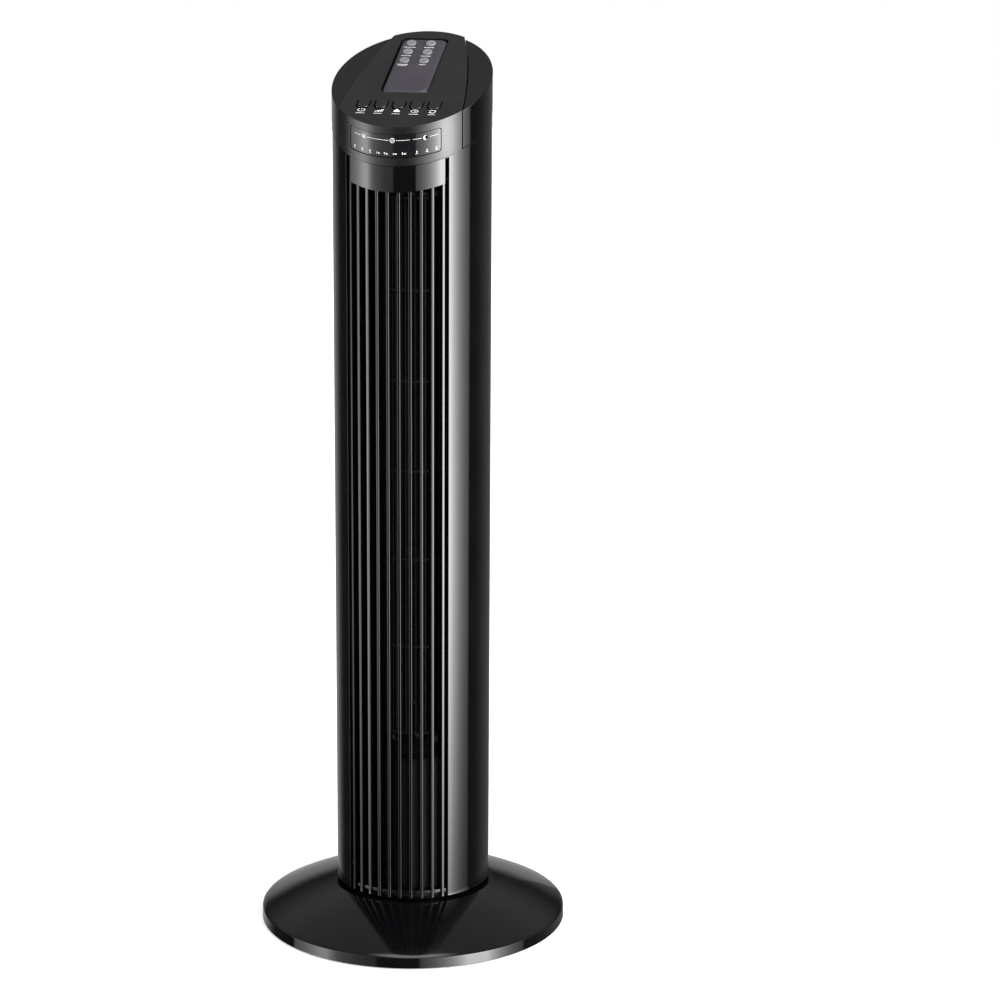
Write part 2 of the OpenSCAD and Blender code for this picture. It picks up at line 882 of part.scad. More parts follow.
module tact_switches() {
  color("#3a3a3d") for (n = [0 : 4]) on_top() translate([button_x(n), button_post_y, board_z]) {
    translate([-3, -3, 0]) cube([6, 6, 3.6]);
    cylinder(h = 4.6, r = 1.7);
  }
}

module power_board() {
  z = top_bulkhead_z + board_post_h;
  color("#24613f") difference() {
    translate([-38, -26, z]) cube([76, 72, board_h]);
    at_board_posts(z - cut) cylinder(h = 4, r = 1.7);
  }
}

module power_components() {
  z = top_bulkhead_z + board_post_h + board_h;
  color("#c8b26a") {
    translate([-28, 12, z]) cube([26, 14, 18]);
    translate([12, 20, z]) cylinder(h = 20, r = 6);
    translate([-6, -18, z]) cube([18, 10, 14]);
    translate([18, -10, z]) cube([12, 20, 11]);
    translate([-30, -14, z]) cube([16, 16, 12]);
  }
}

module motor_lead() {
  color("#2b2b2e") {
    low = core_z + core_h + 6;
    high = top_bulkhead_z + 14;
    translate([lead_x, lead_y, low]) cylinder(h = high - low, r = 2);
    translate([lead_x - 2, lead_y - 2, high]) cube([14, 4, 4]);
  }
}

// ---------- buttons ----------

module button(n) {
  color("#242427") on_top() translate([button_x(n), 0, 0]) {
    translate([0, 0, -button_thick]) linear_extrude(button_thick) button_2d(0, 0);
    intersection() {
      translate([0, button_bottom + button_width / 2, -0.2])
        cylinder(h = 0.6, r = button_width / 2 - 0.8);
      linear_extrude(2) button_2d(-0.8, 0);
    }
    translate([0, button_post_y, -6.5]) cylinder(h = 6.5 - button_thick + 0.5, r = 1.4);
  }
}

module button_power() { button(0); }
module button_speed() { button(1); }
module button_mode() { button(2); }
module button_timer() { button(3); }
module button_swing() { button(4); }

// ---------- remote control ----------

module remote_block(inset, low, high) {
  on_top() translate([controls_x, pocket_y, low]) linear_extrude(high - low)
    rounded_2d(remote_w - 2 * inset, remote_l - 2 * inset, pocket_corner - remote_gap - inset);
}

module at_key(i) {
  column = i % 2;
  row = floor(i / 2);
  x = controls_x + key_x + (column - 0.5) * key_pitch_x;
  on_top() translate([x, key_first_y - row * key_pitch_y, 0]) children();
}

module remote_top() {
  color("#3c3a40") difference() {
    remote_block(0, remote_top_z - remote_lid, remote_top_z);
    for (i = [0 : 5]) at_key(i) translate([0, 0, -4]) cylinder(h = 6, r = key_r + 0.3);
  }
}

module remote_bottom() {
  color("#3c3a40") difference() {
    remote_block(0, remote_floor, remote_top_z - remote_lid);
    remote_block(remote_wall, remote_floor + 1.2, 2);
    on_top() translate([controls_x - 11.2, pocket_y - remote_l / 2 - 2, remote_floor + 1.2])
      cube([22.4, 8, 3.4]);
  }
}

module remote_board() {
  color("#1f5a3a") on_top() translate([controls_x - 16, pocket_y - 12, remote_floor + 2.8])
    cube([32, 48, 1]);
}

module coin_cell() {
  color("#c9ccd0") on_top() translate([controls_x, cell_y, remote_floor + 1.9])
    cylinder(h = 2.5, r = cell_r);
}

module battery_tray() {
  end_y = pocket_y - remote_l / 2;
  color("#3c3a40") on_top() translate([controls_x, 0, remote_floor + 1.25]) difference() {
    translate([-11, end_y, 0]) cube([22, tray_l, 3.2]);
    translate([0, cell_y, 0.65]) cylinder(h = 8, r = cell_r + 0.1);
  }
}

module remote_key(i) {
  color("#b9b7bd") at_key(i) translate([0, 0, remote_top_z - remote_lid - 1.3]) {
    translate([0, 0, 1.2]) cylinder(h = remote_lid + 0.9, r = key_r);
    cylinder(h = 1.2, r = key_flange_r);
  }
}

module remote_key_1() { remote_key(0); }
module remote_key_2() { remote_key(1); }
module remote_key_3() { remote_key(2); }
module remote_key_4() { remote_key(3); }
module remote_key_5() { remote_key(4); }
module remote_key_6() { remote_key(5); }

base_cover();
base_plate();
base_weight();
base_feet();
base_screws();
pivot_post();
post_screws();
slide_ring();
thrust_washer();
fixed_gear();
post_nut();
swivel_base();
front_grille();
rear_housing();
housing_screws();
cord_gland();
osc_motor();
osc_motor_screws();
osc_pinion();
lower_bulkhead();
motor_bell_bottom();
motor_stator();
motor_windings();
motor_bell_top();
motor_mounts();
motor_screws();
motor_shroud();
duct_scroll();
duct_tongue();
top_bulkhead();
upper_bush();
blower_wheel();
wheel_pin();
motor_shaft();
motor_rotor();
head_shell();
control_panel();
display_lens();
display_board();
control_board();
tact_switches();
power_board();
power_components();
motor_lead();
button_power();
button_speed();
button_mode();
button_timer();
button_swing();
remote_top();
remote_bottom();
remote_board();
coin_cell();
battery_tray();
remote_key_1();
remote_key_2();
remote_key_3();
remote_key_4();
remote_key_5();
remote_key_6();
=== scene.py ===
"""Looks of the tower fan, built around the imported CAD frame.

Shapes are worked out in millimetres in the frame's own axes (+Z up, the front faces -Y, the origin on the
floor under the column) and scaled to metres when a mesh is made. An angle called phi is measured from the
front, positive towards +X.
"""
import json
import math

import bmesh
import bpy
from mathutils import Matrix, Vector
from mathutils.geometry import tessellate_polygon


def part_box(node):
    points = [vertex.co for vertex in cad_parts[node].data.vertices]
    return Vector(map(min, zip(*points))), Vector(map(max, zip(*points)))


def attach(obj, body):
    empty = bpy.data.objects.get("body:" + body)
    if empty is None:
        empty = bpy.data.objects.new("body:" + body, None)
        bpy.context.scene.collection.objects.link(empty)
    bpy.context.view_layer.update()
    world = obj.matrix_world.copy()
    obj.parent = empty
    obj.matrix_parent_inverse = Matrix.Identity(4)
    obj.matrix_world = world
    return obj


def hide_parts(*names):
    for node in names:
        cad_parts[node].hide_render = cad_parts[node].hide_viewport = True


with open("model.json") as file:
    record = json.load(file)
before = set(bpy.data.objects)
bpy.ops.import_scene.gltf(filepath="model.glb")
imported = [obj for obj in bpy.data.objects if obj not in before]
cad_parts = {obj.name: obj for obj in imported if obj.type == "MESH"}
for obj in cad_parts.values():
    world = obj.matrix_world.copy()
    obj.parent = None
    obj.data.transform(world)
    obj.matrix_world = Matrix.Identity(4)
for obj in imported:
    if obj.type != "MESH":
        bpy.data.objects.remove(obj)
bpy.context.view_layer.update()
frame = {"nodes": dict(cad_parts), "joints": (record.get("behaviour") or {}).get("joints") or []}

MM = 0.001


def box_mm(node):
    """Lowest and highest corner of a CAD node, in millimetres."""
    low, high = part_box(node)
    return low / MM, high / MM


# ---------------------------------------------------------------- dimensions from the frame

COLUMN_R = box_mm("front_grille")[1].x
COLUMN_BOTTOM = box_mm("front_grille")[0].z
HEAD_R = box_mm("head_shell")[1].x
PANEL_R = box_mm("control_panel")[1].y
TOP_BACK = box_mm("control_panel")[1].z
LIFT = next(j for j in frame["joints"] if j["name"] == "remote_lift")["axis"]
SLOPE = math.atan2(-LIFT[1], LIFT[2])
TOP_MID = TOP_BACK - PANEL_R * math.tan(SLOPE)
BASE_R = box_mm("base_cover")[1].x
BASE_BOTTOM = box_mm("base_cover")[0].z

# Column shells
SHELL_WALL = 2.2
SLAT_COUNT = 10
SLAT_PITCH = 8.18
SLAT_WIDTH = 2.4
SLAT_DEPTH = 9.0
SLAT_R = COLUMN_R - 0.15
OUTLET_ANGLE = 40.8
SLOT_DROP = 50.9
SIDE_SLOT_DROP = 31.5
SEAM_DROP = 30.4
SEAM_GAP = 0.6
BOSS_X = COLUMN_R - 8.7
BOSS_HEIGHTS = (100, 340, 580)
BOSS_R = 3.5
SCREW_HEAD_R = 2.7
GLAND_Z = 75.0
GLAND_HOLE_R = 6.0
INTAKE_COLUMNS = 11
INTAKE_PITCH = 9.0  # degrees
INTAKE_HALF = 2.9  # half a slot's width, in degrees
INTAKE_CORNER = 1.8
INTAKE_BAYS = 5
INTAKE_BOTTOM = 150.0
BAY_HEIGHT = 86.0
BAY_GAP = 8.0
NEST_DEPTH = 3.5  # of the base's round recess under the column

# Head
HEAD_WALL = 2.5
BACK_SKIRT = 14.0
SHOULDER_DROP = 1.0
SHOULDER_TAN = math.tan(SLOPE) - 1.2 / (2 * COLUMN_R)
SEAM_FRONT = 52.0
SEAM_BACK = 152.0
SEAM_BOW = 3.0
WINDOW_ANGLE = 34.5
WINDOW_TOP = 6.0
WINDOW_BOTTOM = 23.7
WINDOW_CORNER = 1.8
WINDOW_GAP = 0.25
LENS_R = PANEL_R - 0.3

# Controls, in the top face's own axes: x across, y up the slope, z out of the face
CONTROLS_X = -2.0
BUTTONS = ("power", "speed", "mode", "timer", "swing")
BUTTON_PITCH = 14.2
BUTTON_X = [CONTROLS_X + (n - 2) * BUTTON_PITCH for n in range(5)]
BUTTON_W = 9.4
BUTTON_BOTTOM = -44.4
BUTTON_HINGE = -33.6
BUTTON_POST_Y = -40.0
ICON_Y = -47.9
GROOVE = 1.0
DEEPER = 1.1  # how much wider the groove is at the button's free end
HINGE_LINE = 0.04
POCKET_Y = 19.3
POCKET_W = 39.1
POCKET_L = 81.0
POCKET_DEPTH = 8.4
POCKET_CORNER = 5.0
REMOTE_GAP = 0.9
REMOTE_TOP = -0.2
REMOTE_LID = 1.8
LID_MARGIN = 0.35
KEY_R = 4.1
KEY_FLANGE = 1.2
KEYS_X = CONTROLS_X - 2.4
KEYS_Y = 52.6
KEY_PLACES = [(KEYS_X + side * 8, KEYS_Y - 13 * row) for row in range(3) for side in (-1, 1)]

TOP = Matrix.Translation((0, 0, TOP_MID)) @ Matrix.Rotation(SLOPE, 4, "X")


def on_top(x, y, z=0.0):
    """Point of the sloping top face's own axes, in the frame's axes."""
    return TOP @ Vector((x, y, z))


def at_height(loop, z=0.0):
    """Loop of plan points of the top face, all at height z over it."""
    return [on_top(x, y, z) for x, y in loop]


def from_front(r, phi, z=0.0):
    return Vector((r * math.sin(math.radians(phi)), -r * math.cos(math.radians(phi)), z))


def below_top(drop):
    """Height, at radius r and angle phi, of the plane that lies drop below the top face."""
    return lambda r, phi: TOP_MID - drop - r * math.cos(math.radians(phi)) * math.tan(SLOPE)


def level(z):
    return lambda r, phi: z


# ---------------------------------------------------------------- mesh helpers

def patch(bm, rows, closed=False):
    """Quads between rows of points; closed joins each row's end to its start."""
    made = [[bm.verts.new(p) for p in row] for row in rows]
    for a, b in zip(made, made[1:]):
        count = len(a)
        for i in range(count if closed else count - 1):
            j = (i + 1) % count
            bm.faces.new((a[i], a[j], b[j], b[i]))


def disc(bm, ring):
    bm.faces.new([bm.verts.new(p) for p in ring])


def flat_region(bm, place, outer, holes=()):
    """Triangles that fill a plane outline with holes; place turns a plane point into a 3-D point."""
    loops = [outer, *holes]
    points = [p for loop in loops for p in loop]
    verts = [bm.verts.new(place(p)) for p in points]
    for tri in tessellate_polygon([[Vector((p[0], p[1], 0)) for p in loop] for loop in loops]):
        bm.faces.new([verts[i] for i in tri])


def spread(breaks, step):
    """The breaks, with even steps of at most step between them."""
    out = [breaks[0]]
    for a, b in zip(breaks, breaks[1:]):
        n = max(1, math.ceil((b - a) / step - 1e-6))
        out += [a + (b - a) * k / n for k in range(1, n + 1)]
    return out


def wall(bm, phis, r_out, r_in, rows, keep=lambda phi, row: True, skip_rows=(), skip_ends=False, uncapped=()):
    """Curved wall between two radii. Rows are height functions of (r, phi); keep says which cells are solid.

    skip_rows names the rows whose edge face another surface closes, and skip_ends leaves both ends open.
    uncapped lists the openings (from phi, to phi, row) that another patch fills."""
    def point(r, i, j):
        return from_front(r, phis[i], rows[j](r, phis[i]))

    columns, levels = len(phis) - 1, len(rows) - 1

    def solid(i, j):
        return 0 <= i < columns and 0 <= j < levels and keep((phis[i] + phis[i + 1]) / 2, j)

    def filled(i, j):
        middle = (phis[i] + phis[i + 1]) / 2 if 0 <= i < columns else math.nan
        return any(a < middle < b and j == row for a, b, row in uncapped)

    def edge_face(a, b):
        patch(bm, [[point(r, *a), point(r, *b)] for r in (r_out, r_in)])

    for i in range(columns):
        for j in range(levels):
            if not solid(i, j):
                continue
            for r in (r_out, r_in):
                patch(bm, [[point(r, i, k), point(r, i + 1, k)] for k in (j, j + 1)])
            for k, beside in ((i, i - 1), (i + 1, i + 1)):
                left_open = skip_ends and k in (0, columns)
                if not (solid(beside, j) or left_open or filled(beside, j)):
                    edge_face((k, j), (k, j + 1))
            for k, beside in ((j, j - 1), (j + 1, j + 1)):
                if not (solid(i, beside) or k in skip_rows or filled(i, beside)):
                    edge_face((i, k), (i + 1, k))


def tube(bm, start, axis, r_out, r_in, length):
    """Closed pipe, or a rod where r_in is 0."""
    steps = 32
    axis = Vector(axis).normalized()
    side = axis.orthogonal().normalized()
    other = axis.cross(side)

    def ring(r, t):
        return [Vector(start) + axis * t + side * (r * math.cos(a)) + other * (r * math.sin(a))
                for a in (2 * math.pi * k / steps for k in range(steps))]

    if r_in > 0:
        profile = ((r_out, 0), (r_out, length), (r_in, length), (r_in, 0), (r_out, 0))
        patch(bm, [ring(r, t) for r, t in profile], closed=True)
    else:
        patch(bm, [ring(r_out, 0), ring(r_out, length)], True)
        disc(bm, ring(r_out, 0))
        disc(bm, ring(r_out, length))


def arc_points(centre, r, a, b, count):
    """Points on an arc from angle a to b in degrees, both ends included."""
    return [(centre[0] + r * math.cos(math.radians(a + (b - a) * k / count)),
             centre[1] + r * math.sin(math.radians(a + (b - a) * k / count))) for k in range(count + 1)]


def rounded_rect(w, l, r, centre):
    x, y = w / 2 - r, l / 2 - r
    out = []
    for cx, cy, a in ((x, -y, -90), (x, y, 0), (-x, y, 90), (-x, -y, 180)):
        out += arc_points((centre[0] + cx, centre[1] + cy), r, a, a + 90, 8)
    return out


def u_shape(x, grow_side, grow_end, deeper=0.0):
    """Outline of a button: a half round at the bottom and a square end at the hinge."""
    r = BUTTON_W / 2 + grow_side
    base = BUTTON_BOTTOM + BUTTON_W / 2
    top = BUTTON_HINGE + grow_end
    side = [top + (base - top) * k / 4 for k in range(4)]
    half_round = arc_points((x, base), r, 180, 360, 16)
    bottom = [(px, base + (py - base) * (1 + deeper / r)) for px, py in half_round]
    return [(x - r, y) for y in side] + bottom + [(x + r, y) for y in reversed(side)]


WELD = 0.002  # corners closer than this become one


def make_piece(name, bm, body, slot, bevel=0.25, segments=2, replaces=(), angle=32):
    """Mesh object from a bmesh in millimetres, welded, softened along its edges and riding on a body."""
    bmesh.ops.remove_doubles(bm, verts=bm.verts, dist=WELD)
    bmesh.ops.dissolve_degenerate(bm, edges=bm.edges, dist=WELD / 2)
    bmesh.ops.recalc_face_normals(bm, faces=bm.faces)
    bmesh.ops.scale(bm, vec=(MM, MM, MM), verts=bm.verts)
    mesh = bpy.data.meshes.new(name)
    bm.to_mesh(mesh)
    bm.free()
    obj = bpy.data.objects.new(name, mesh)
    bpy.context.scene.collection.objects.link(obj)
    mesh.materials.append(MATERIALS[slot])
    mesh.shade_smooth()
    mesh.set_sharp_from_angle(angle=math.radians(angle))
    if bevel:
        soften(obj, bevel, segments, angle)
    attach(obj, body)
    if replaces:
        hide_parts(*replaces)


def soften(obj, width, segments, angle):
    """Rounded edges with clean shading."""
    mod = obj.modifiers.new("edges", "BEVEL")
    mod.width = width * MM
    mod.segments = segments
    mod.limit_method = "ANGLE"
    mod.angle_limit = math.radians(angle)
    mod.harden_normals = True
    mod.use_clamp_overlap = True
    mod.miter_outer = "MITER_ARC"


# ---------------------------------------------------------------- materials

def add_node(tree, kind, inputs):
    """New shader node; each input is given as a number, a colour or the socket that feeds it."""
    node = tree.nodes.new("ShaderNode" + kind)
    for key, value in inputs.items():
        if isinstance(value, bpy.types.NodeSocket):
            tree.links.new(value, node.inputs[key])
        else:
            node.inputs[key].default_value = value
    return node


def node_math(tree, operation, *values):
    node = add_node(tree, "Math", dict(enumerate(values)))
    node.operation = operation
    return node.outputs[0]


def times(tree, a, b):
    return node_math(tree, "MULTIPLY", a, b)


def plus(tree, a, b):
    return node_math(tree, "ADD", a, b)


def noise(tree, vector, scale, detail):
    return add_node(tree, "TexNoise", {"Vector": vector, "Scale": scale, "Detail": detail}).outputs["Fac"]


def ramp(tree, value, low, high, out_low, out_high):
    """Value carried from low..high to out_low..out_high, and held there."""
    limits = {"From Min": low, "From Max": high, "To Min": out_low, "To Max": out_high}
    return add_node(tree, "MapRange", {"Value": value, **limits}).outputs["Result"]


def mix_colour(tree, factor, a, b):
    node = tree.nodes.new("ShaderNodeMix")
    node.data_type = "RGBA"
    first, second, result = 6, 7, 2  # the colour sockets among those of every data type
    tree.links.new(factor, node.inputs["Factor"])
    node.inputs[first].default_value = (*a, 1)
    node.inputs[second].default_value = (*b, 1)
    return node.outputs[result]


def surface(name, tones, rough, grain, grain_depth, patches, metallic=0.0, ior=1.5, extra=None):
    """Procedural material: two tones in soft patches, a roughness range, and a fine grain as bump.

    grain and patches are noise scales, per metre; grain_depth is in metres."""
    mat = bpy.data.materials.new(name)
    mat.use_nodes = True
    tree = mat.node_tree
    shader = tree.nodes["Principled BSDF"]
    coords = tree.nodes.new("ShaderNodeTexCoord").outputs["Object"]
    cloud = noise(tree, coords, patches, 4.0)
    fine = noise(tree, coords, grain, 2.0)
    tree.links.new(mix_colour(tree, ramp(tree, cloud, 0.3, 0.7, 0, 1), *tones), shader.inputs["Base Color"])
    blotch = ramp(tree, cloud, 0.3, 0.7, rough[0], rough[1])
    spread_by_grain = 0.15 * (rough[1] - rough[0])
    speck = ramp(tree, fine, 0.2, 0.8, -spread_by_grain, spread_by_grain)
    tree.links.new(plus(tree, blotch, speck), shader.inputs["Roughness"])
    bump = add_node(tree, "Bump", {"Strength": 0.5, "Distance": grain_depth, "Height": fine})
    tree.links.new(bump.outputs[0], shader.inputs["Normal"])
    shader.inputs["Metallic"].default_value = metallic
    shader.inputs["IOR"].default_value = ior
    if extra:
        extra(tree, shader, coords, bump)
    mat.diffuse_color = (*tones[0], 1)
    return mat


def bands(period, depth, axis):
    """Extra for surface(): fine parallel grooves, such as laminations or turns of wire."""
    def add(tree, shader, coords, bump):
        scale = 2 * math.pi / (20 * period * MM)
        wave = add_node(tree, "TexWave", {"Vector": coords, "Scale": scale, "Distortion": 0.4})
        wave.bands_direction = axis
        grooves = add_node(tree, "Bump", {"Strength": 0.8, "Distance": depth * MM,
                                          "Height": wave.outputs["Fac"], "Normal": bump.outputs[0]})
        tree.links.new(grooves.outputs[0], shader.inputs["Normal"])
    return add


def board_tracks(tree, shader, coords, bump):
    """Extra for surface(): copper tracks under green lacquer."""
    cells = add_node(tree, "TexVoronoi", {"Vector": coords, "Scale": 240})
    cells.distance = "MANHATTAN"
    lines = ramp(tree, cells.outputs["Distance"], 0.35, 0.4, 0, 1)
    lacquer, track = (0.012, 0.11, 0.045), (0.03, 0.19, 0.07)
    tree.links.new(mix_colour(tree, lines, lacquer, track), shader.inputs["Base Color"])


MATERIALS = {
    "gloss_shell": surface("gloss_shell_black", ((0.0012, 0.0012, 0.0014), (0.0018, 0.0018, 0.0020)),
        (0.045, 0.085), 650, 0.000002, 22),
    "panel": surface("panel_satin", ((0.0030, 0.0029, 0.0033), (0.0042, 0.0040, 0.0046)),
        (0.24, 0.32), 2600, 0.000012, 30),
    "window": surface("window_smoke", ((0.004, 0.004, 0.0045), (0.0055, 0.0055, 0.006)),
        (0.05, 0.09), 700, 0.000002, 25),
    "inner_plastic": surface("inner_matt_black", ((0.0018, 0.0018, 0.0020), (0.0030, 0.0030, 0.0032)),
        (0.50, 0.64), 1800, 0.00002, 40, ior=1.36),
    "rubber": surface("rubber_black", ((0.012, 0.012, 0.012), (0.02, 0.02, 0.02)),
        (0.6, 0.8), 2200, 0.00003, 60),
    "steel": surface("zinc_steel", ((0.52, 0.53, 0.55), (0.62, 0.63, 0.65)),
        (0.22, 0.38), 900, 0.00001, 80, metallic=1.0),
    "ballast": surface("ballast_iron", ((0.10, 0.10, 0.105), (0.16, 0.16, 0.165)),
        (0.45, 0.65), 500, 0.00008, 60, metallic=0.7),
    "nylon": surface("nylon_natural", ((0.70, 0.68, 0.62), (0.78, 0.76, 0.70)),
        (0.35, 0.45), 900, 0.00001, 50),
    "motor_metal": surface("motor_zinc", ((0.40, 0.41, 0.43), (0.50, 0.51, 0.53)),
        (0.32, 0.48), 700, 0.00002, 50, metallic=1.0),
    "core": surface("core_laminations", ((0.22, 0.23, 0.25), (0.30, 0.31, 0.33)),
        (0.35, 0.5), 900, 0.00001, 60, metallic=1.0, extra=bands(0.5, 0.08, "Z")),
    "copper": surface("winding_copper", ((0.62, 0.24, 0.10), (0.72, 0.31, 0.14)),
        (0.25, 0.4), 900, 0.00001, 60, metallic=1.0, extra=bands(0.6, 0.15, "DIAGONAL")),
    "bronze": surface("bush_bronze", ((0.48, 0.34, 0.16), (0.58, 0.42, 0.22)),
        (0.3, 0.45), 900, 0.00002, 60, metallic=1.0),
    "circuit": surface("circuit_green", ((0.012, 0.11, 0.045), (0.02, 0.15, 0.06)),
        (0.25, 0.4), 900, 0.00001, 60, extra=board_tracks),
    "remote_case": surface("remote_satin", ((0.022, 0.020, 0.026), (0.028, 0.025, 0.032)),
        (0.30, 0.38), 2600, 0.000012, 30),
    "remote_keys": surface("key_grey", ((0.105, 0.105, 0.115), (0.13, 0.13, 0.14)),
        (0.35, 0.5), 1800, 0.00001, 60),
    "print": surface("print_white", ((0.72, 0.72, 0.72), (0.80, 0.80, 0.80)),
        (0.45, 0.55), 1800, 0.000005, 60),
}


# ---------------------------------------------------------------- camera, floor and light

def make_camera():
    """The photograph's long lens, a little to the right of the front and above the head."""
    pitch, roll, yaw = math.radians(13.439), math.radians(0.338), math.radians(12.307)
    distance, lens, sensor = 2372.6, 105.05, 36.0
    aside, above = -70.96, 7.95  # how far the view's middle is from the column's middle
    ahead = Vector((0, math.cos(pitch), -math.sin(pitch)))
    up = Vector((0, math.sin(pitch), math.cos(pitch)))
    right = Vector((1, 0, 0))
    right, up = (right * math.cos(roll) + up * math.sin(roll), up * math.cos(roll) - right * math.sin(roll))
    middle = Vector((0, 0, TOP_BACK / 2))
    place = middle - ahead * distance - right * aside - up * above
    turn = Matrix.Rotation(yaw, 3, "Z")
    axes = [turn @ v for v in (right, up, -ahead)]
    data = bpy.data.cameras.new("camera")
    data.lens = lens
    data.sensor_width = sensor
    data.clip_start = 0.1
    data.clip_end = 50
    camera = bpy.data.objects.new("camera", data)
    camera.matrix_world = Matrix.Translation(turn @ place * MM) @ Matrix(axes).transposed().to_4x4()
    bpy.context.scene.collection.objects.link(camera)
    bpy.context.scene.camera = camera


def make_floor():
    """Wide pale floor that glows a little, so that the fan's shadow stays faint."""
    half_width, glow = 6.0, 0.4
    bm = bmesh.new()
    bmesh.ops.create_grid(bm, x_segments=8, y_segments=8, size=half_width)
    mesh = bpy.data.meshes.new("floor")
    bm.to_mesh(mesh)
    bm.free()
    floor = bpy.data.objects.new("floor", mesh)
    bpy.context.scene.collection.objects.link(floor)
    pale = surface("floor_pale", ((0.86, 0.86, 0.86), (0.88, 0.88, 0.88)), (0.6, 0.7), 300, 0.00002, 3)
    shader = pale.node_tree.nodes["Principled BSDF"]
    shader.inputs["Emission Color"].default_value = (1, 1, 1, 1)
    shader.inputs["Emission Strength"].default_value = glow
    floor.data.materials.append(pale)
    floor.visible_glossy = False


def smooth_step(tree, value, low, high):
    node = add_node(tree, "MapRange", {"Value": value, "From Min": low, "From Max": high})
    node.interpolation_type = "SMOOTHSTEP"
    return node.outputs["Result"]


def softbox(tree, azimuth, middle, flat, falls, ends, strength):
    """Tall light between two azimuths, in degrees from the front.

    It is even within flat of its middle, and falls off to each side over falls."""
    rad = math.radians
    (fall_left, fall_right), (left, right) = falls, ends
    to_left = node_math(tree, "MAXIMUM", node_math(tree, "SUBTRACT", rad(middle - flat), azimuth), 0.0)
    to_right = node_math(tree, "MAXIMUM", node_math(tree, "SUBTRACT", azimuth, rad(middle + flat)), 0.0)
    fall = plus(tree, node_math(tree, "DIVIDE", to_left, rad(fall_left)),
                node_math(tree, "DIVIDE", to_right, rad(fall_right)))
    glow = node_math(tree, "EXPONENT", times(tree, fall, -1.0))
    soft_edge = 1.0
    start = smooth_step(tree, azimuth, rad(left - soft_edge), rad(left + soft_edge))
    end = smooth_step(tree, azimuth, rad(right + soft_edge), rad(right - soft_edge))
    edges = times(tree, start, end)
    return times(tree, times(tree, glow, strength), edges)


def make_light():
    """White surroundings for the camera; for everything else a dim studio with two tall softboxes."""
    world = bpy.data.worlds.new("studio")
    bpy.context.scene.world = world
    world.use_nodes = True
    tree = world.node_tree
    tree.nodes.clear()
    direction = tree.nodes.new("ShaderNodeTexCoord").outputs["Generated"]
    x, y, z = add_node(tree, "SeparateXYZ", {0: direction}).outputs
    azimuth = node_math(tree, "ARCTAN2", x, times(tree, y, -1.0))
    height = node_math(tree, "ARCSINE", z)
    rad = math.radians
    right = softbox(tree, azimuth, middle=63, flat=8, falls=(13, 12), ends=(19, 105), strength=18.0)
    left = softbox(tree, azimuth, middle=-57, flat=3.5, falls=(18, 8), ends=(-87, -13), strength=6.6)
    fill = softbox(tree, azimuth, middle=-26, flat=10, falls=(5, 5), ends=(-42, -13), strength=0.5)
    lit = plus(tree, plus(tree, right, left), fill)
    low_fade = smooth_step(tree, height, rad(-25.5), rad(-13))
    high_fade = smooth_step(tree, height, rad(60), rad(30))
    lit = times(tree, lit, times(tree, low_fade, high_fade))
    ceiling = ramp(tree, smooth_step(tree, height, rad(14), rad(37)), 0, 1, 0.05, 0.32)
    overhead = times(tree, smooth_step(tree, height, rad(72), rad(82)), 3.0)
    behind_left = times(tree, smooth_step(tree, azimuth, rad(-112), rad(-140)), 0.42)
    behind_right = times(tree, smooth_step(tree, azimuth, rad(112), rad(150)), 0.14)
    behind = plus(tree, behind_left, behind_right)
    backdrop = times(tree, behind, smooth_step(tree, height, rad(16), rad(5)))
    room = plus(tree, plus(tree, ceiling, overhead), backdrop)
    white = (1, 1, 1, 1)
    studio = add_node(tree, "Background", {"Color": white, "Strength": plus(tree, room, lit)})
    plain = add_node(tree, "Background", {"Color": white})
    seen = tree.nodes.new("ShaderNodeLightPath").outputs["Is Camera Ray"]
    mix = add_node(tree, "MixShader", {0: seen, 1: studio.outputs[0], 2: plain.outputs[0]})
    add_node(tree, "OutputWorld", {"Surface": mix.outputs[0]})
    bpy.context.scene.view_settings.view_transform = "Standard"


make_camera()
make_floor()
make_light()


# ---------------------------------------------------------------- CAD nodes that stay

def dress_cad_nodes():
    """Carried-over nodes get their slot's material, welded corners and softened edges."""
    flat_angle = math.radians(0.6)
    for obj in frame["nodes"].values():
        for cell in obj.material_slots:
            base = cell.material.name.split(".")[0]
            if base in MATERIALS:
                cell.material = MATERIALS[base]
        if "custom_normal" in obj.data.attributes:
            obj.data.attributes.remove(obj.data.attributes["custom_normal"])
        obj.data.shade_smooth()
        weld = obj.modifiers.new("weld", "WELD")
        weld.merge_threshold = WELD * MM
        flat = obj.modifiers.new("flat", "DECIMATE")  # joins the triangles of flat faces
        flat.decimate_type = "DISSOLVE"
        flat.angle_limit = flat_angle
        soften(obj, 0.2, 2, 32)


dress_cad_nodes()


# ---------------------------------------------------------------- outer pieces

def solve(f, low, high):
    """Value between low and high where f changes sign."""
    rising = f(high) > 0
    for _ in range(60):
        middle = (low + high) / 2
        if (f(middle) > 0) == rising:
            high = middle
        else:
            low = middle
    return (low + high) / 2


def seam_circle():
    """Centre and radius of the bowed seam on the right side, in plan."""
    a, b = from_front(COLUMN_R, SEAM_FRONT), from_front(COLUMN_R, SEAM_BACK)
    chord = b - a
    radius = (chord.length ** 2 / 4 + SEAM_BOW ** 2) / (2 * SEAM_BOW)
    normal = Vector((chord.y, -chord.x, 0)) / chord.length
    return (a + b) / 2 - normal * (radius - SEAM_BOW), radius


SEAM_CENTRE, SEAM_RADIUS = seam_circle()


def seam_ray(phi, grow):
    """Distance from the column's axis at which the direction phi meets the right seam."""
    u = from_front(1, phi)
    along = u.dot(SEAM_CENTRE)
    return along + math.sqrt(along ** 2 - SEAM_CENTRE.length_squared + (SEAM_RADIUS + grow) ** 2)


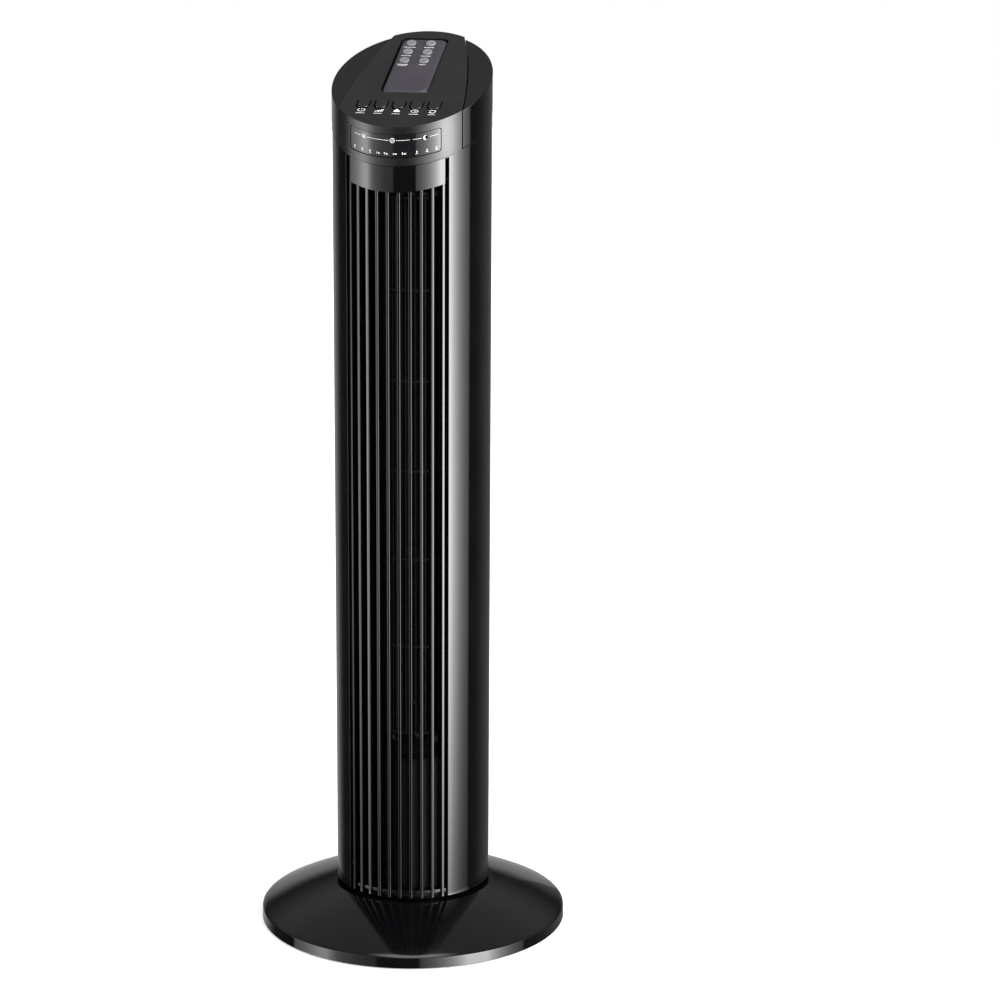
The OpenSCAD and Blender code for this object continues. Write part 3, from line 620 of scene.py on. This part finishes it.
def seam_ends(r, grow):
    """Angles at which the right seam meets the circle of radius r, at the front and at the back."""
    def outside(phi):
        return seam_ray(phi, grow) - r

    return solve(outside, 30, 90), solve(outside, 90, 178)


def lathe(bm, profile):
    """Closed ring from a profile of (radius, height) points."""
    steps = 192
    phis = [360 * k / steps for k in range(steps)]
    rings = [[from_front(r, phi, z) for phi in phis] for r, z in profile]
    patch(bm, rings + rings[:1], closed=True)


def build_base_cover():
    """Domed cover with a rim band, a round nest for the column and a hole for the post's shaft."""
    dome_r, rim_height, cover_wall, hole_r = 270.0, 11.0, 2.7, 7.2
    rim_lean, rim_edge, nest_gap = 0.4, 1.0, 2.8
    rim_top_r = BASE_R - 1.5
    nest_r = COLUMN_R + nest_gap
    nest_z = COLUMN_BOTTOM - NEST_DEPTH
    centre_z = rim_height - math.sqrt(dome_r ** 2 - rim_top_r ** 2)

    def dome(r, inset):
        return centre_z + math.sqrt((dome_r - inset) ** 2 - r ** 2)

    def run(a, b, inset, count):
        return [(a + (b - a) * k / count, dome(a + (b - a) * k / count, inset)) for k in range(count + 1)]

    under_z = nest_z - cover_wall
    inner_r = solve(lambda r: under_z - dome(r, cover_wall), 20, 120)
    profile = [(BASE_R, BASE_BOTTOM), (BASE_R - rim_lean, rim_height - rim_edge)]
    profile += run(rim_top_r, nest_r, 0, 24)
    profile += [(nest_r, nest_z), (hole_r, nest_z), (hole_r, under_z)]
    profile += run(inner_r, BASE_R - cover_wall - rim_lean, cover_wall, 20)
    profile += [(BASE_R - cover_wall, BASE_BOTTOM)]
    bm = bmesh.new()
    lathe(bm, profile)
    make_piece("base_dome", bm, "base", "gloss_shell", 0.35, 3, ["base_cover"], angle=20)


def build_slide_ring():
    """Dark ring the column slides on, seen between the lower ends of the slats."""
    low, high, outer, inner = COLUMN_BOTTOM - NEST_DEPTH, COLUMN_BOTTOM - 0.3, 49.0, 42.0
    bm = bmesh.new()
    lathe(bm, [(outer, low), (outer, high), (inner, high), (inner, low)])
    make_piece("slide_track", bm, "base", "inner_plastic", 0.2, 2, ["slide_ring"])


def slat_profile():
    """Outline of a slat as (across, depth): rounded corners in front and small ones behind."""
    half, front, back = SLAT_WIDTH / 2, 0.55, 0.3
    turns = [math.pi / 2 * k / 7 for k in range(8)]
    left = [(front - half - front * math.cos(a), front - front * math.sin(a)) for a in turns]
    right = [(half - front + front * math.sin(a), front - front * math.cos(a)) for a in turns]
    behind = [(half, SLAT_DEPTH - back), (half - back, SLAT_DEPTH),
              (back - half, SLAT_DEPTH), (-half, SLAT_DEPTH - back)]
    return left + right + behind


def build_front_grille():
    """Front half shell with its slats, the hoop that ties them at the foot, and the screw bosses."""
    slat_half = math.degrees(SLAT_WIDTH / COLUMN_R / 2)
    inner = (SLAT_COUNT - 1) / 2 * SLAT_PITCH + slat_half
    r_in = COLUMN_R - SHELL_WALL
    hoop_in, hoop_angle = COLUMN_R - SLAT_DEPTH - 0.5, 46
    hoop_low = COLUMN_BOTTOM + 3.3
    hoop_high = hoop_low + 2.5
    pilot_r, boss_depth, slat_overlap = 1.5, 23.5, 0.3
    side_slots, band = 1, 2

    def keep(phi, row):
        return abs(phi) > OUTLET_ANGLE or row == band or (row == side_slots and abs(phi) < inner)

    bm = bmesh.new()
    rows = [level(COLUMN_BOTTOM), below_top(SLOT_DROP), below_top(SIDE_SLOT_DROP),
            below_top(SEAM_DROP + SEAM_GAP / 2)]
    wall(bm, spread([-90, -OUTLET_ANGLE, -inner, inner, OUTLET_ANGLE, 90], 1.5), COLUMN_R, r_in, rows, keep)
    for k in range(SLAT_COUNT):
        phi = (k - (SLAT_COUNT - 1) / 2) * SLAT_PITCH
        out, across = from_front(1, phi), from_front(1, phi + 90)
        ring = [out * (SLAT_R - depth) + across * side for side, depth in slat_profile()]
        low = [p + Vector((0, 0, COLUMN_BOTTOM)) for p in ring]
        top = TOP_MID - SLOT_DROP + slat_overlap
        high = [p + Vector((0, 0, top + p.y * math.tan(SLOPE))) for p in ring]
        patch(bm, [low, high], closed=True)
        disc(bm, low)
        disc(bm, high)
    wall(bm, spread([-hoop_angle, hoop_angle], 2), r_in, hoop_in, [level(hoop_low), level(hoop_high)])
    for side in (-1, 1):
        for z in BOSS_HEIGHTS:
            tube(bm, (side * BOSS_X, 0, z), (0, -1, 0), BOSS_R, pilot_r, boss_depth)
    make_piece("front_grille_shell", bm, "tower", "gloss_shell", 0.3, 3, ["front_grille"])


def pierced(bm, phis, z_low, z_high, centre, r, r_out, r_in):
    """Patch of a curved wall with a round hole that runs straight back along Y.

    Spokes lead from the patch's own corners to points spread evenly round the hole."""
    fan_step = math.radians(12)
    x0, z0 = centre
    edge = [(phi, z_low) for phi in phis] + [(phi, z_high) for phi in reversed(phis)]
    phi0 = 180 - math.degrees(math.asin(x0 / r_out))
    squeeze = math.radians(r_out) * abs(math.cos(math.radians(phi0)))
    turns = [math.atan2(z - z0, (phi0 - phi) * squeeze) for phi, z in edge]
    spokes = []
    for i, turn in enumerate(turns):
        gap = (turns[(i + 1) % len(turns)] - turn + math.pi) % (2 * math.pi) - math.pi
        parts = max(1, round(abs(gap) / fan_step))
        for k in range(parts):
            corner = edge[i if 2 * k <= parts else (i + 1) % len(edge)]
            spokes.append((corner, turn + gap * k / parts))
    loops = []
    for shell in (r_out, r_in):
        rim = [(180 - math.degrees(math.asin((x0 + r * math.cos(a)) / shell)), z0 + r * math.sin(a))
               for _, a in spokes]
        rings = [[from_front(shell, p + (q - p) * t, z + (w - z) * t)
                  for ((p, z), _), (q, w) in zip(spokes, rim)] for t in (0, 0.25, 0.5, 0.75, 1)]
        patch(bm, rings, closed=True)
        loops.append(rings[-1])
    patch(bm, loops, closed=True)


def rear_boss(bm, x, z, shell):
    """Screw boss along Y: a narrow hole for the shank and a wide one for the head, out to the shell."""
    steps, shank_r, seat = 32, 1.8, 8
    around = [2 * math.pi * k / steps for k in range(steps)]

    def ring(r, y):
        points = [(x + r * math.cos(a), z + r * math.sin(a)) for a in around]
        return [Vector((px, math.sqrt(shell ** 2 - px ** 2) if y is None else y, pz)) for px, pz in points]

    profile = [(BOSS_R, 0), (BOSS_R, None), (SCREW_HEAD_R, None), (SCREW_HEAD_R, seat), (shank_r, seat),
               (shank_r, 0), (BOSS_R, 0)]
    patch(bm, [ring(r, y) for r, y in profile], closed=True)


def build_rear_housing():
    """Rear half shell: bays of intake slots, screw holes with their bosses, and the gland's hole."""
    r_in = COLUMN_R - SHELL_WALL
    gland_patch, boss_patch, slots_end = 8, 6, 50
    centres = [180 + (k - (INTAKE_COLUMNS - 1) / 2) * INTAKE_PITCH for k in range(INTAKE_COLUMNS)]
    starts = [INTAKE_BOTTOM + i * (BAY_HEIGHT + BAY_GAP) for i in range(INTAKE_BAYS)]
    hole_edges = [GLAND_Z - gland_patch, GLAND_Z + gland_patch]
    hole_edges += [z + side * boss_patch for z in BOSS_HEIGHTS for side in (-1, 1)]
    shared = BOSS_HEIGHTS[1] - boss_patch  # this edge lies in the row where the middle bay starts
    levels = sorted({*starts, *(z + BAY_HEIGHT for z in starts), *hole_edges} - {shared})
    heights = [COLUMN_BOTTOM] + levels

    def slot_bend(phi):
        """How far a slot's end is rounded in at an angle."""
        gap = min(abs(phi - c) for c in centres)
        room = math.radians(INTAKE_HALF - gap) * COLUMN_R
        if gap >= INTAKE_HALF or room >= INTAKE_CORNER:
            return 0.0
        return INTAKE_CORNER - math.sqrt(max(0.0, 2 * INTAKE_CORNER * room - room ** 2))

    def row_at(z):
        """Height of a row: rounded at the ends of the slots, and shared beside them with a boss's edge."""
        def height(r, phi):
            if z == starts[2] and abs(phi - 180) > slots_end:
                return shared
            end = 1 if z in starts else -1 if z - BAY_HEIGHT in starts else 0
            return z + end * slot_bend(phi)
        return height

    def row_under(z):
        return heights.index(z) - 1

    def in_bay(row):
        return row < len(levels) and any(
            z <= heights[row] and heights[row + 1] <= z + BAY_HEIGHT for z in starts)

    holes = [(172, 188, row_under(GLAND_Z + gland_patch), (0, GLAND_Z), GLAND_HOLE_R)]
    for z in BOSS_HEIGHTS:
        for side, start, end in ((1, 108, 128), (-1, 232, 252)):
            holes.append((start, end, row_under(z + boss_patch), (side * BOSS_X, z), SCREW_HEAD_R))

    def keep(phi, row):
        if in_bay(row) and min(abs(phi - c) for c in centres) < INTAKE_HALF:
            return False
        return not any(start < phi < end and row == at for start, end, at, _, _ in holes)

    half_steps = (0, 0.8, 1.6, 2.2, 2.65, INTAKE_HALF)  # closer together in the slots' corners
    breaks = {90, 180 - slots_end, 180 + slots_end, 270}
    breaks |= {edge for hole in holes for edge in hole[:2]}
    breaks |= {round(c + side * step, 4) for c in centres for step in half_steps for side in (-1, 1)}
    phis = spread(sorted(breaks), 1.6)
    rows = [level(COLUMN_BOTTOM)] + [row_at(z) for z in levels] + [below_top(SEAM_DROP + SEAM_GAP / 2)]
    bm = bmesh.new()
    wall(bm, phis, COLUMN_R, r_in, rows, keep, uncapped=[hole[:3] for hole in holes])
    for a, b, row, centre, r in holes:
        across = [phi for phi in phis if a - 1e-6 <= phi <= b + 1e-6]
        low, high = rows[row](COLUMN_R, across[0]), rows[row + 1](COLUMN_R, across[0])
        pierced(bm, across, low, high, centre, r, COLUMN_R, r_in)
    for side in (-1, 1):
        for z in BOSS_HEIGHTS:
            rear_boss(bm, side * BOSS_X, z, r_in)
    make_piece("rear_housing_shell", bm, "tower", "gloss_shell", 0.3, 3, ["rear_housing"])


def build_head_shell():
    """Shoulders and back of the head, with the tongue and the web inside the seam to the column."""
    r_out, r_in = HEAD_R, HEAD_R - HEAD_WALL
    tongue_start, tongue_low, seat_low, both_high = 57, SEAM_DROP + 6, SEAM_DROP - 1, SEAM_DROP - 4
    low = below_top(SEAM_DROP - SEAM_GAP / 2)
    skirt = below_top(BACK_SKIRT + SEAM_GAP)
    front, back = seam_ends(r_out, SEAM_GAP / 2)

    def cap(r, phi):
        return TOP_MID - SHOULDER_DROP - r * math.cos(math.radians(phi)) * SHOULDER_TAN

    def under_cap(r, phi):
        return cap(r, phi) - HEAD_WALL

    def section(phi, mirror):
        seam = min(seam_ray(phi, SEAM_GAP / 2), r_out)
        above_skirt = max(r_in, seam)
        below_skirt = above_skirt if phi < 90 else r_in
        points = [(r_out, low), (r_out, skirt), (r_out, under_cap), (r_out, cap), (seam, cap),
                  (seam, under_cap), (above_skirt, under_cap), (above_skirt, skirt), (below_skirt, skirt),
                  (below_skirt, low)]
        return [from_front(r, mirror * phi, z(r, phi)) for r, z in points]

    bm = bmesh.new()
    phis = spread([front, seam_ends(r_in, SEAM_GAP / 2)[0], 90, seam_ends(r_in, SEAM_GAP / 2)[1], back], 1.5)
    for mirror in (-1, 1):
        patch(bm, [section(phi, mirror) for phi in phis], closed=True)
    wall(bm, spread([back, 360 - back], 1.5), r_out, r_in, [low, skirt], skip_ends=True)
    around = spread([tongue_start, 360 - tongue_start], 3)
    wall(bm, around, r_in - 0.3, r_in - 2.3, [below_top(tongue_low), below_top(both_high)])
    wall(bm, around, r_out - 1, r_in - 1, [below_top(seat_low), below_top(both_high)])
    make_piece("head_cap", bm, "tower", "gloss_shell", 0.45, 3, ["head_shell"])


def window_row(drop, sign, half):
    """Upper or lower edge of the window, which bends into the rounded corners."""
    def height(r, phi):
        room = math.radians(half - abs(phi)) * PANEL_R
        if room >= WINDOW_CORNER:
            bend = 0.0
        elif room <= 0:
            bend = WINDOW_CORNER
        else:
            bend = WINDOW_CORNER - math.sqrt(2 * WINDOW_CORNER * room - room ** 2)
        return below_top(drop + sign * bend)(r, phi)
    return height


def window_breaks(half):
    """Angles across the window, close together in its corners."""
    corner = math.degrees(WINDOW_CORNER / PANEL_R)
    steps = [half - corner * (1 - math.cos(math.radians(a))) for a in (0, 15, 30, 45, 60, 75, 90)]
    return [-s for s in steps] + steps[::-1]


def panel_phis():
    """Angles along the panel's front edge, its right seam and its back edge."""
    front, back = seam_ends(PANEL_R, -SEAM_GAP / 2)
    across = [-front, *window_breaks(WINDOW_ANGLE + WINDOW_GAP), front]
    return spread(across, 1.6), spread([front, back], 2.2), spread([back, 360 - back], 2.0)


def panel_outline(inset):
    """Plan outline of the panel, moved in by inset."""
    front, back = seam_ends(PANEL_R, -SEAM_GAP / 2)
    f2, b2 = seam_ends(PANEL_R - inset, -SEAM_GAP / 2 - inset)
    front_phis, side_phis, back_phis = panel_phis()
    out = [from_front(PANEL_R - inset, phi * f2 / front) for phi in front_phis]
    side = [f2 + (phi - front) * (b2 - f2) / (back - front) for phi in side_phis]
    side = [from_front(seam_ray(phi, -SEAM_GAP / 2 - inset), phi) for phi in side]
    out += side[1:]
    spread_back = (180 - b2) / (180 - back)
    out += [from_front(PANEL_R - inset, 180 + (phi - 180) * spread_back) for phi in back_phis[1:]]
    return out + [Vector((-p.x, p.y, 0)) for p in side[-2:0:-1]]


def build_control_panel():
    """Front and top of the head in one piece: window's opening, pocket and the buttons' grooves."""
    rim, under = 1.2, HEAD_WALL * math.cos(SLOPE)
    pocket_rim, pocket_wall, groove_rim = 1.0, 2.0, 0.8
    front_phis, side_phis, back_phis = panel_phis()
    r_in = PANEL_R - HEAD_WALL
    bm = bmesh.new()

    def face(p):
        return Vector((p[0], p[1], TOP_MID + p[1] * math.tan(SLOPE)))

    def underside(p):
        return face(p) - Vector((0, 0, HEAD_WALL))

    def closed_ring(a, b):
        patch(bm, [a, b], closed=True)

    outline = panel_outline(0)
    inner_outline = panel_outline(rim)
    closed_ring([face(p) for p in outline], [face(p) for p in inner_outline])
    holes = [rounded_rect(POCKET_W + 2 * g, POCKET_L + 2 * g, POCKET_CORNER + g, (CONTROLS_X, POCKET_Y))
             for g in (0, pocket_rim, pocket_wall)]
    top_holes, under_holes = [at_height(holes[1])], [at_height(holes[2], -under)]
    closed_ring(at_height(holes[0]), at_height(holes[1]))
    closed_ring(at_height(holes[0]), at_height(holes[0], -POCKET_DEPTH))
    disc(bm, at_height(holes[0], -POCKET_DEPTH))
    closed_ring(at_height(holes[2], -under), at_height(holes[2], -POCKET_DEPTH - pocket_wall))
    disc(bm, at_height(holes[2], -POCKET_DEPTH - pocket_wall))
    for x in BUTTON_X:
        cut = u_shape(x, GROOVE, HINGE_LINE, DEEPER)
        held = u_shape(x, GROOVE + groove_rim, HINGE_LINE + groove_rim, DEEPER)
        closed_ring(at_height(cut), at_height(held))
        closed_ring(at_height(cut), at_height(cut, -under))
        top_holes.append(at_height(held))
        under_holes.append(at_height(cut, -under))
    flat_region(bm, face, inner_outline, top_holes)
    seam = [from_front(seam_ray(phi, -SEAM_GAP / 2), phi) for phi in side_phis]
    mirrored = [Vector((-p.x, p.y, 0)) for p in seam]
    front_arc, back_arc = ([from_front(r_in, phi) for phi in phis] for phis in (front_phis, back_phis))
    below = front_arc + seam + back_arc
    flat_region(bm, underside, below + mirrored[::-1], under_holes)
    for side in (seam, mirrored):
        patch(bm, [[face(p) for p in side], [underside(p) for p in side]])
    for phis in (front_phis, back_phis):
        edge = [from_front(PANEL_R, phi) for phi in phis]
        patch(bm, [[face(p) for p in edge], [underside(p) for p in edge]])
    half, beside_window, top_row = WINDOW_ANGLE + WINDOW_GAP, 1, 3
    rows = [below_top(SEAM_DROP - SEAM_GAP / 2), window_row(WINDOW_BOTTOM + WINDOW_GAP, -1, half),
            window_row(WINDOW_TOP - WINDOW_GAP, 1, half), below_top(HEAD_WALL)]
    wall(bm, front_phis, PANEL_R, r_in, rows, lambda phi, row: row != beside_window or abs(phi) > half,
         skip_rows=(top_row,))
    wall(bm, back_phis, PANEL_R, r_in, [below_top(BACK_SKIRT), below_top(HEAD_WALL)], skip_rows=(1,))
    make_piece("control_fascia", bm, "tower", "panel", 0.4, 3, ["control_panel"])


def build_display_lens():
    """Curved window with a flange behind the panel's wall."""
    half, flange = WINDOW_ANGLE - WINDOW_GAP, 1.4
    seat_r, flange_r = PANEL_R - HEAD_WALL - 0.1, PANEL_R - HEAD_WALL - 1.3
    bm = bmesh.new()
    breaks = window_breaks(half)
    rows = [window_row(WINDOW_BOTTOM - WINDOW_GAP, -1, half), window_row(WINDOW_TOP + WINDOW_GAP, 1, half)]
    wall(bm, spread(breaks, 1.5), LENS_R, seat_r, rows)
    edge = WINDOW_ANGLE + flange
    wall(bm, spread([-edge, edge], 2), seat_r, flange_r,
         [below_top(WINDOW_BOTTOM + flange), below_top(WINDOW_TOP - flange)])
    make_piece("display_window", bm, "tower", "window", 0.2, 3, ["display_lens"])


def build_button(name, x):
    """Tongue that rises a little towards its free end, with a rounded edge."""
    rise, rise_run, edge, edge_run, underside = 0.38, 9, 0.6, 1.8, -2.2
    post_r, post_end, post_length = 1.4, -6.5, 4.8
    up = on_top(0, 0, 1) - on_top(0, 0, 0)

    def ease(t):
        t = min(1.0, max(0.0, t))
        return t * t * (3 - 2 * t)

    def ring(inset, z):
        points = [(px, py, BUTTON_HINGE - py) for px, py in u_shape(x, -inset, 0)]
        return [on_top(px, py, z * ease(down / edge_run) + rise * ease(down / rise_run))
                for px, py, down in points]

    rings = [at_height(u_shape(x, 0, 0), underside), ring(0, -edge)]
    for a in (0.4, 0.8, 1.2, math.pi / 2):
        rings.append(ring(edge * (1 - math.cos(a)), -edge + edge * math.sin(a)))
    rings += [ring(inset, -dish) for inset, dish in ((1.3, 0), (2.6, 0.08), (3.7, 0.12))]
    bm = bmesh.new()
    patch(bm, rings, closed=True)
    disc(bm, rings[0])
    disc(bm, rings[-1])
    tube(bm, on_top(x, BUTTON_POST_Y, post_end), up, post_r, 0, post_length)
    make_piece("push_" + name, bm, "button_" + name, "panel", 0, replaces=["button_" + name], angle=50)


def circle_loop(x, y, r, count=40):
    return arc_points((x, y), r, 0, 360 - 360 / count, count - 1)


def build_remote():
    """Upper case of the remote control: edges rounded over, and six holes for the keys."""
    lid_bottom = REMOTE_TOP - REMOTE_LID
    hole_gap, hole_rim = 0.3, 0.65
    w, l = POCKET_W - 2 * REMOTE_GAP - 2 * LID_MARGIN, POCKET_L - 2 * REMOTE_GAP
    edge_corner, upper_corner, lower_corner = 5.0, 4.8, 8.0
    round_in, round_end, round_drop = 2.6, 1.2, 1.7

    def loop(inset, z):
        """Outline moved in by inset, by less at its upper end, with rounder corners further in."""
        part = inset / round_in
        right, low, high = w / 2 - inset, inset - l / 2, l / 2 - part * round_end
        upper, lower = (edge_corner + (r - edge_corner) * part for r in (upper_corner, lower_corner))
        points = []
        for side, y, r, start in ((1, high - upper, upper, 0), (-1, high - upper, upper, 90),
                                  (-1, low + lower, lower, 180), (1, low + lower, lower, 270)):
            points += arc_points((CONTROLS_X + side * (right - r), POCKET_Y + y), r, start, start + 90, 8)
        return at_height(points, z)

    bm = bmesh.new()
    rings = [loop(0, lid_bottom), loop(0, REMOTE_TOP - round_drop)]
    for k in range(1, 9):
        a = math.pi / 2 * k / 8
        rings.append(loop(round_in * (1 - math.cos(a)), REMOTE_TOP - round_drop * (1 - math.sin(a))))
    rings.append(loop(round_in + 0.15, REMOTE_TOP))
    patch(bm, rings, closed=True)
    top_holes, under_holes = [], []
    for x, y in KEY_PLACES:
        hole, held = circle_loop(x, y, KEY_R + hole_gap), circle_loop(x, y, KEY_R + hole_rim)
        top, under = at_height(hole, REMOTE_TOP), at_height(hole, lid_bottom)
        patch(bm, [top, at_height(held, REMOTE_TOP)], closed=True)
        patch(bm, [top, under], closed=True)
        top_holes.append(at_height(held, REMOTE_TOP))
        under_holes.append(under)

    def lid_face(z):
        rise = math.tan(SLOPE)
        return lambda p: Vector((p[0], p[1], TOP_MID + p[1] * rise + z / math.cos(SLOPE)))

    flat_region(bm, lid_face(REMOTE_TOP), rings[-1], top_holes)
    flat_region(bm, lid_face(lid_bottom), rings[0], under_holes)
    make_piece("remote_lid", bm, "remote", "remote_case", 0.18, 2, ["remote_top"])


def build_key(index, x, y):
    """Soft cap with a rounded edge and a shallow dish, on a flange under the lid."""
    flange_r, under_lid, above_lid = KEY_R + 0.9, 1.3, 0.9
    base = REMOTE_TOP - REMOTE_LID - under_lid
    crown = base + KEY_FLANGE + REMOTE_LID + above_lid
    profile = [(flange_r, base), (flange_r, base + KEY_FLANGE), (KEY_R, base + KEY_FLANGE)]
    profile += [(KEY_R - inset, crown - drop) for inset, drop in (
        (0, 0.5), (0.1, 0.25), (0.35, 0.07), (0.75, 0), (1.6, 0.06), (2.8, 0.16))]
    rings = [at_height(circle_loop(x, y, r), z) for r, z in profile]
    bm = bmesh.new()
    patch(bm, rings, closed=True)
    disc(bm, rings[0])
    disc(bm, rings[-1])
    key = f"remote_key_{index}"
    make_piece(f"key_cap_{index}", bm, key, "remote_keys", 0, replaces=[key], angle=50)


# ---------------------------------------------------------------- printed marks

INK = 0.04


def ribbon(bm, place, points, width, closed=False):
    """Printed line of even width along points of a surface."""
    count = len(points)
    sections = []
    for i, (u, v) in enumerate(points):
        before = points[(i - 1) % count] if closed or i else points[i]
        after = points[(i + 1) % count] if closed or i < count - 1 else points[i]
        du, dv = after[0] - before[0], after[1] - before[1]
        size = math.hypot(du, dv)
        nu, nv = -dv / size * width / 2, du / size * width / 2
        corners = ((1, 0), (-1, 0), (-1, INK), (1, INK))
        sections.append([place(u + side * nu, v + side * nv, h) for side, h in corners])
    patch(bm, sections + (sections[:1] if closed else []), closed=True)
    if not closed:
        disc(bm, sections[0])
        disc(bm, sections[-1])


def blot(bm, place, outline):
    """Printed filled shape."""
    low = [place(u, v, 0) for u, v in outline]
    high = [place(u, v, INK) for u, v in outline]
    patch(bm, [low, high], closed=True)
    disc(bm, low)
    disc(bm, high)


def caption(bm, place, u, v, length, height):
    """Row of small blocks, wide and narrow by turns, that stands for a legend."""
    gap, widths, notches = 0.32 * height, (0.75, 1.2, 0.5, 0.95), (0, 0.25, 0)
    x = u - length / 2
    count = 0
    while x < u + length / 2 - 0.3 * height:
        w = min(height * widths[count % len(widths)], u + length / 2 - x)
        foot, head = v - height / 2, v + height / 2 - height * notches[count % len(notches)]
        blot(bm, place, [(x, foot), (x + w, foot), (x + w, head), (x, head)])
        x += w + gap
        count += 1


def oval(u, v, across, up, start, end, count):
    """Points along part of an ellipse, between two angles in degrees."""
    angles = [math.radians(start + (end - start) * k / count) for k in range(count + 1)]
    return [(u + across * math.cos(a), v + up * math.sin(a)) for a in angles]


def icon_power(bm, place, u, v):
    ribbon(bm, place, oval(u, v, 2.9, 1.9, 120, 420, 28), 0.36)
    ribbon(bm, place, [(u, v + 0.6), (u, v + 2.4)], 0.36)


def icon_speed(bm, place, u, v):
    for k in range(5):
        x = u - 2.6 + k * 1.35
        ribbon(bm, place, [(x - 0.3, v - 1.9), (x + 0.4, v - 0.9 + 0.75 * k)], 0.55)


def icon_mode(bm, place, u, v):
    for k in range(3):
        a = math.radians(90 + 120 * k)
        x, y = u + 1.4 * math.cos(a), v + 1.2 * math.sin(a)
        blade = arc_points((x, y), 1.25, 120 * k, 120 * k + 300, 14)
        blot(bm, place, [(px, y + 0.85 * (py - y)) for px, py in blade])


def icon_timer(bm, place, u, v):
    ribbon(bm, place, oval(u, v, 2.8, 2.0, 0, 348.75, 31), 0.36, closed=True)
    ribbon(bm, place, [(u, v + 1.2), (u, v), (u + 1.2, v - 0.4)], 0.36)


def icon_swing(bm, place, u, v):
    for turn in (0, 180):
        ribbon(bm, place, oval(u, v, 2.6, 1.9, turn + 30, turn + 155, 16), 0.5)
        arrow = ((2.6, 1.9, turn + 8), (3.6, 2.8, turn + 44), (1.6, 1.0, turn + 44))
        blot(bm, place, [oval(u, v, across, up, a, a, 1)[0] for across, up, a in arrow])


ICONS = (icon_power, icon_speed, icon_mode, icon_timer, icon_swing)

DIGITS = {
    "1": ((0.1, 0.75), (0.35, 1), (0.35, 0)),
    "2": ((0, 0.8), (0.15, 1), (0.5, 1), (0.6, 0.75), (0, 0), (0.65, 0)),
    "4": ((0.45, 0), (0.45, 1), (0, 0.3), (0.65, 0.3)),
    "8": ((0.3, 0.52), (0.02, 0.78), (0.15, 1), (0.45, 1), (0.58, 0.78), (0.3, 0.52), (0, 0.25), (0.12, 0),
          (0.48, 0), (0.6, 0.25), (0.3, 0.52)),
}


def digit_mark(bm, place, digit, u, v, height):
    start = u - 0.425 * height
    line = [(start + x * height, v + (y - 0.5) * height) for x, y in DIGITS[digit]]
    ribbon(bm, place, line, 0.2 * height)


def build_panel_marks():
    """Icon and legend under each button."""
    aside, caption_drop, caption_lengths = 0.4, 4.3, (7.2, 6.6, 6.2, 7.4, 6.0)
    bm = bmesh.new()
    for x, icon, length in zip(BUTTON_X, ICONS, caption_lengths):
        icon(bm, on_top, x + aside, ICON_Y)
        caption(bm, on_top, x + aside, ICON_Y - caption_drop, length, 0.55)
    make_piece("panel_icons", bm, "tower", "print", 0)


def build_window_marks():
    """Thin line with three signs, and a row of small numbers and dots under it."""
    def place(u, v, h):
        phi = math.degrees(u / LENS_R)
        return from_front(LENS_R + h, phi, below_top(-v)(LENS_R, phi))

    def at(phi):
        return math.radians(phi) * LENS_R

    bm = bmesh.new()
    line_v, legend_v = -10.4, -20.6
    wave_phi, sun_phi, moon_phi = -22, 0, 23.4
    for a, b in ((-30.6, -24.6), (-19.4, -2.6), (2.6, 12.5), (14.5, 20.6), (26.2, 32.2)):
        steps = max(2, int((b - a) / 1.2))
        ribbon(bm, place, [(at(a + (b - a) * k / steps), line_v) for k in range(steps + 1)], 0.22)
    for k in range(3):
        wave_v = line_v + 0.9 - 0.9 * k
        wave = [(at(wave_phi) - 1.6 + 0.32 * i, wave_v + 0.28 * math.sin(i * 0.95)) for i in range(11)]
        ribbon(bm, place, wave, 0.3)
    ribbon(bm, place, circle_loop(at(sun_phi), line_v, 1.7, 30), 0.28, closed=True)
    for k in range(8):
        ray = [arc_points((at(sun_phi), line_v), r, 45 * k, 45 * k, 1)[0] for r in (0.55, 0.95)]
        ribbon(bm, place, ray, 0.24)
    moon = arc_points((at(moon_phi), line_v), 1.7, 60, 300, 20)
    hollow = arc_points((at(moon_phi) + 0.95, line_v), 1.52, 285, 75, 16)
    blot(bm, place, moon + hollow)
    for phi in (-30.4, -23.4, -16.8, 17.2, 24.4, 31.2):
        blot(bm, place, circle_loop(at(phi), legend_v + 0.5, 0.5, 16))
        caption(bm, place, at(phi), legend_v - 0.9, 1.6, 0.5)
    for phi, digit in ((-10.6, "1"), (-4.8, "2"), (1.6, "4"), (8.2, "8")):
        digit_mark(bm, place, digit, at(phi) - 0.8, legend_v, 1.4)
        caption(bm, place, at(phi) + 0.9, legend_v - 0.2, 1.5, 0.9)
    make_piece("window_legends", bm, "tower", "print", 0)


def build_remote_marks():
    """Legend under each key, with a second row under the fifth."""
    first_drop, second_drop, lengths, second_length = 2.1, 3.7, (9.6, 8.4, 8.0, 8.0, 9.0, 5.4), 7.4
    bm = bmesh.new()

    def lid(u, v, h):
        return on_top(u, v, REMOTE_TOP + h)

    for (x, y), length in zip(KEY_PLACES, lengths):
        caption(bm, lid, x, y - KEY_R - first_drop, length, 0.55)
    x, y = KEY_PLACES[4]
    caption(bm, lid, x, y - KEY_R - second_drop, second_length, 0.55)
    make_piece("remote_legends", bm, "remote", "print", 0)


build_base_cover()
build_slide_ring()
build_front_grille()
build_rear_housing()
build_head_shell()
build_control_panel()
build_display_lens()
for button_name, button_x in zip(BUTTONS, BUTTON_X):
    build_button(button_name, button_x)
build_remote()
for key_index, key_place in enumerate(KEY_PLACES, 1):
    build_key(key_index, *key_place)
build_panel_marks()
build_window_marks()
build_remote_marks()
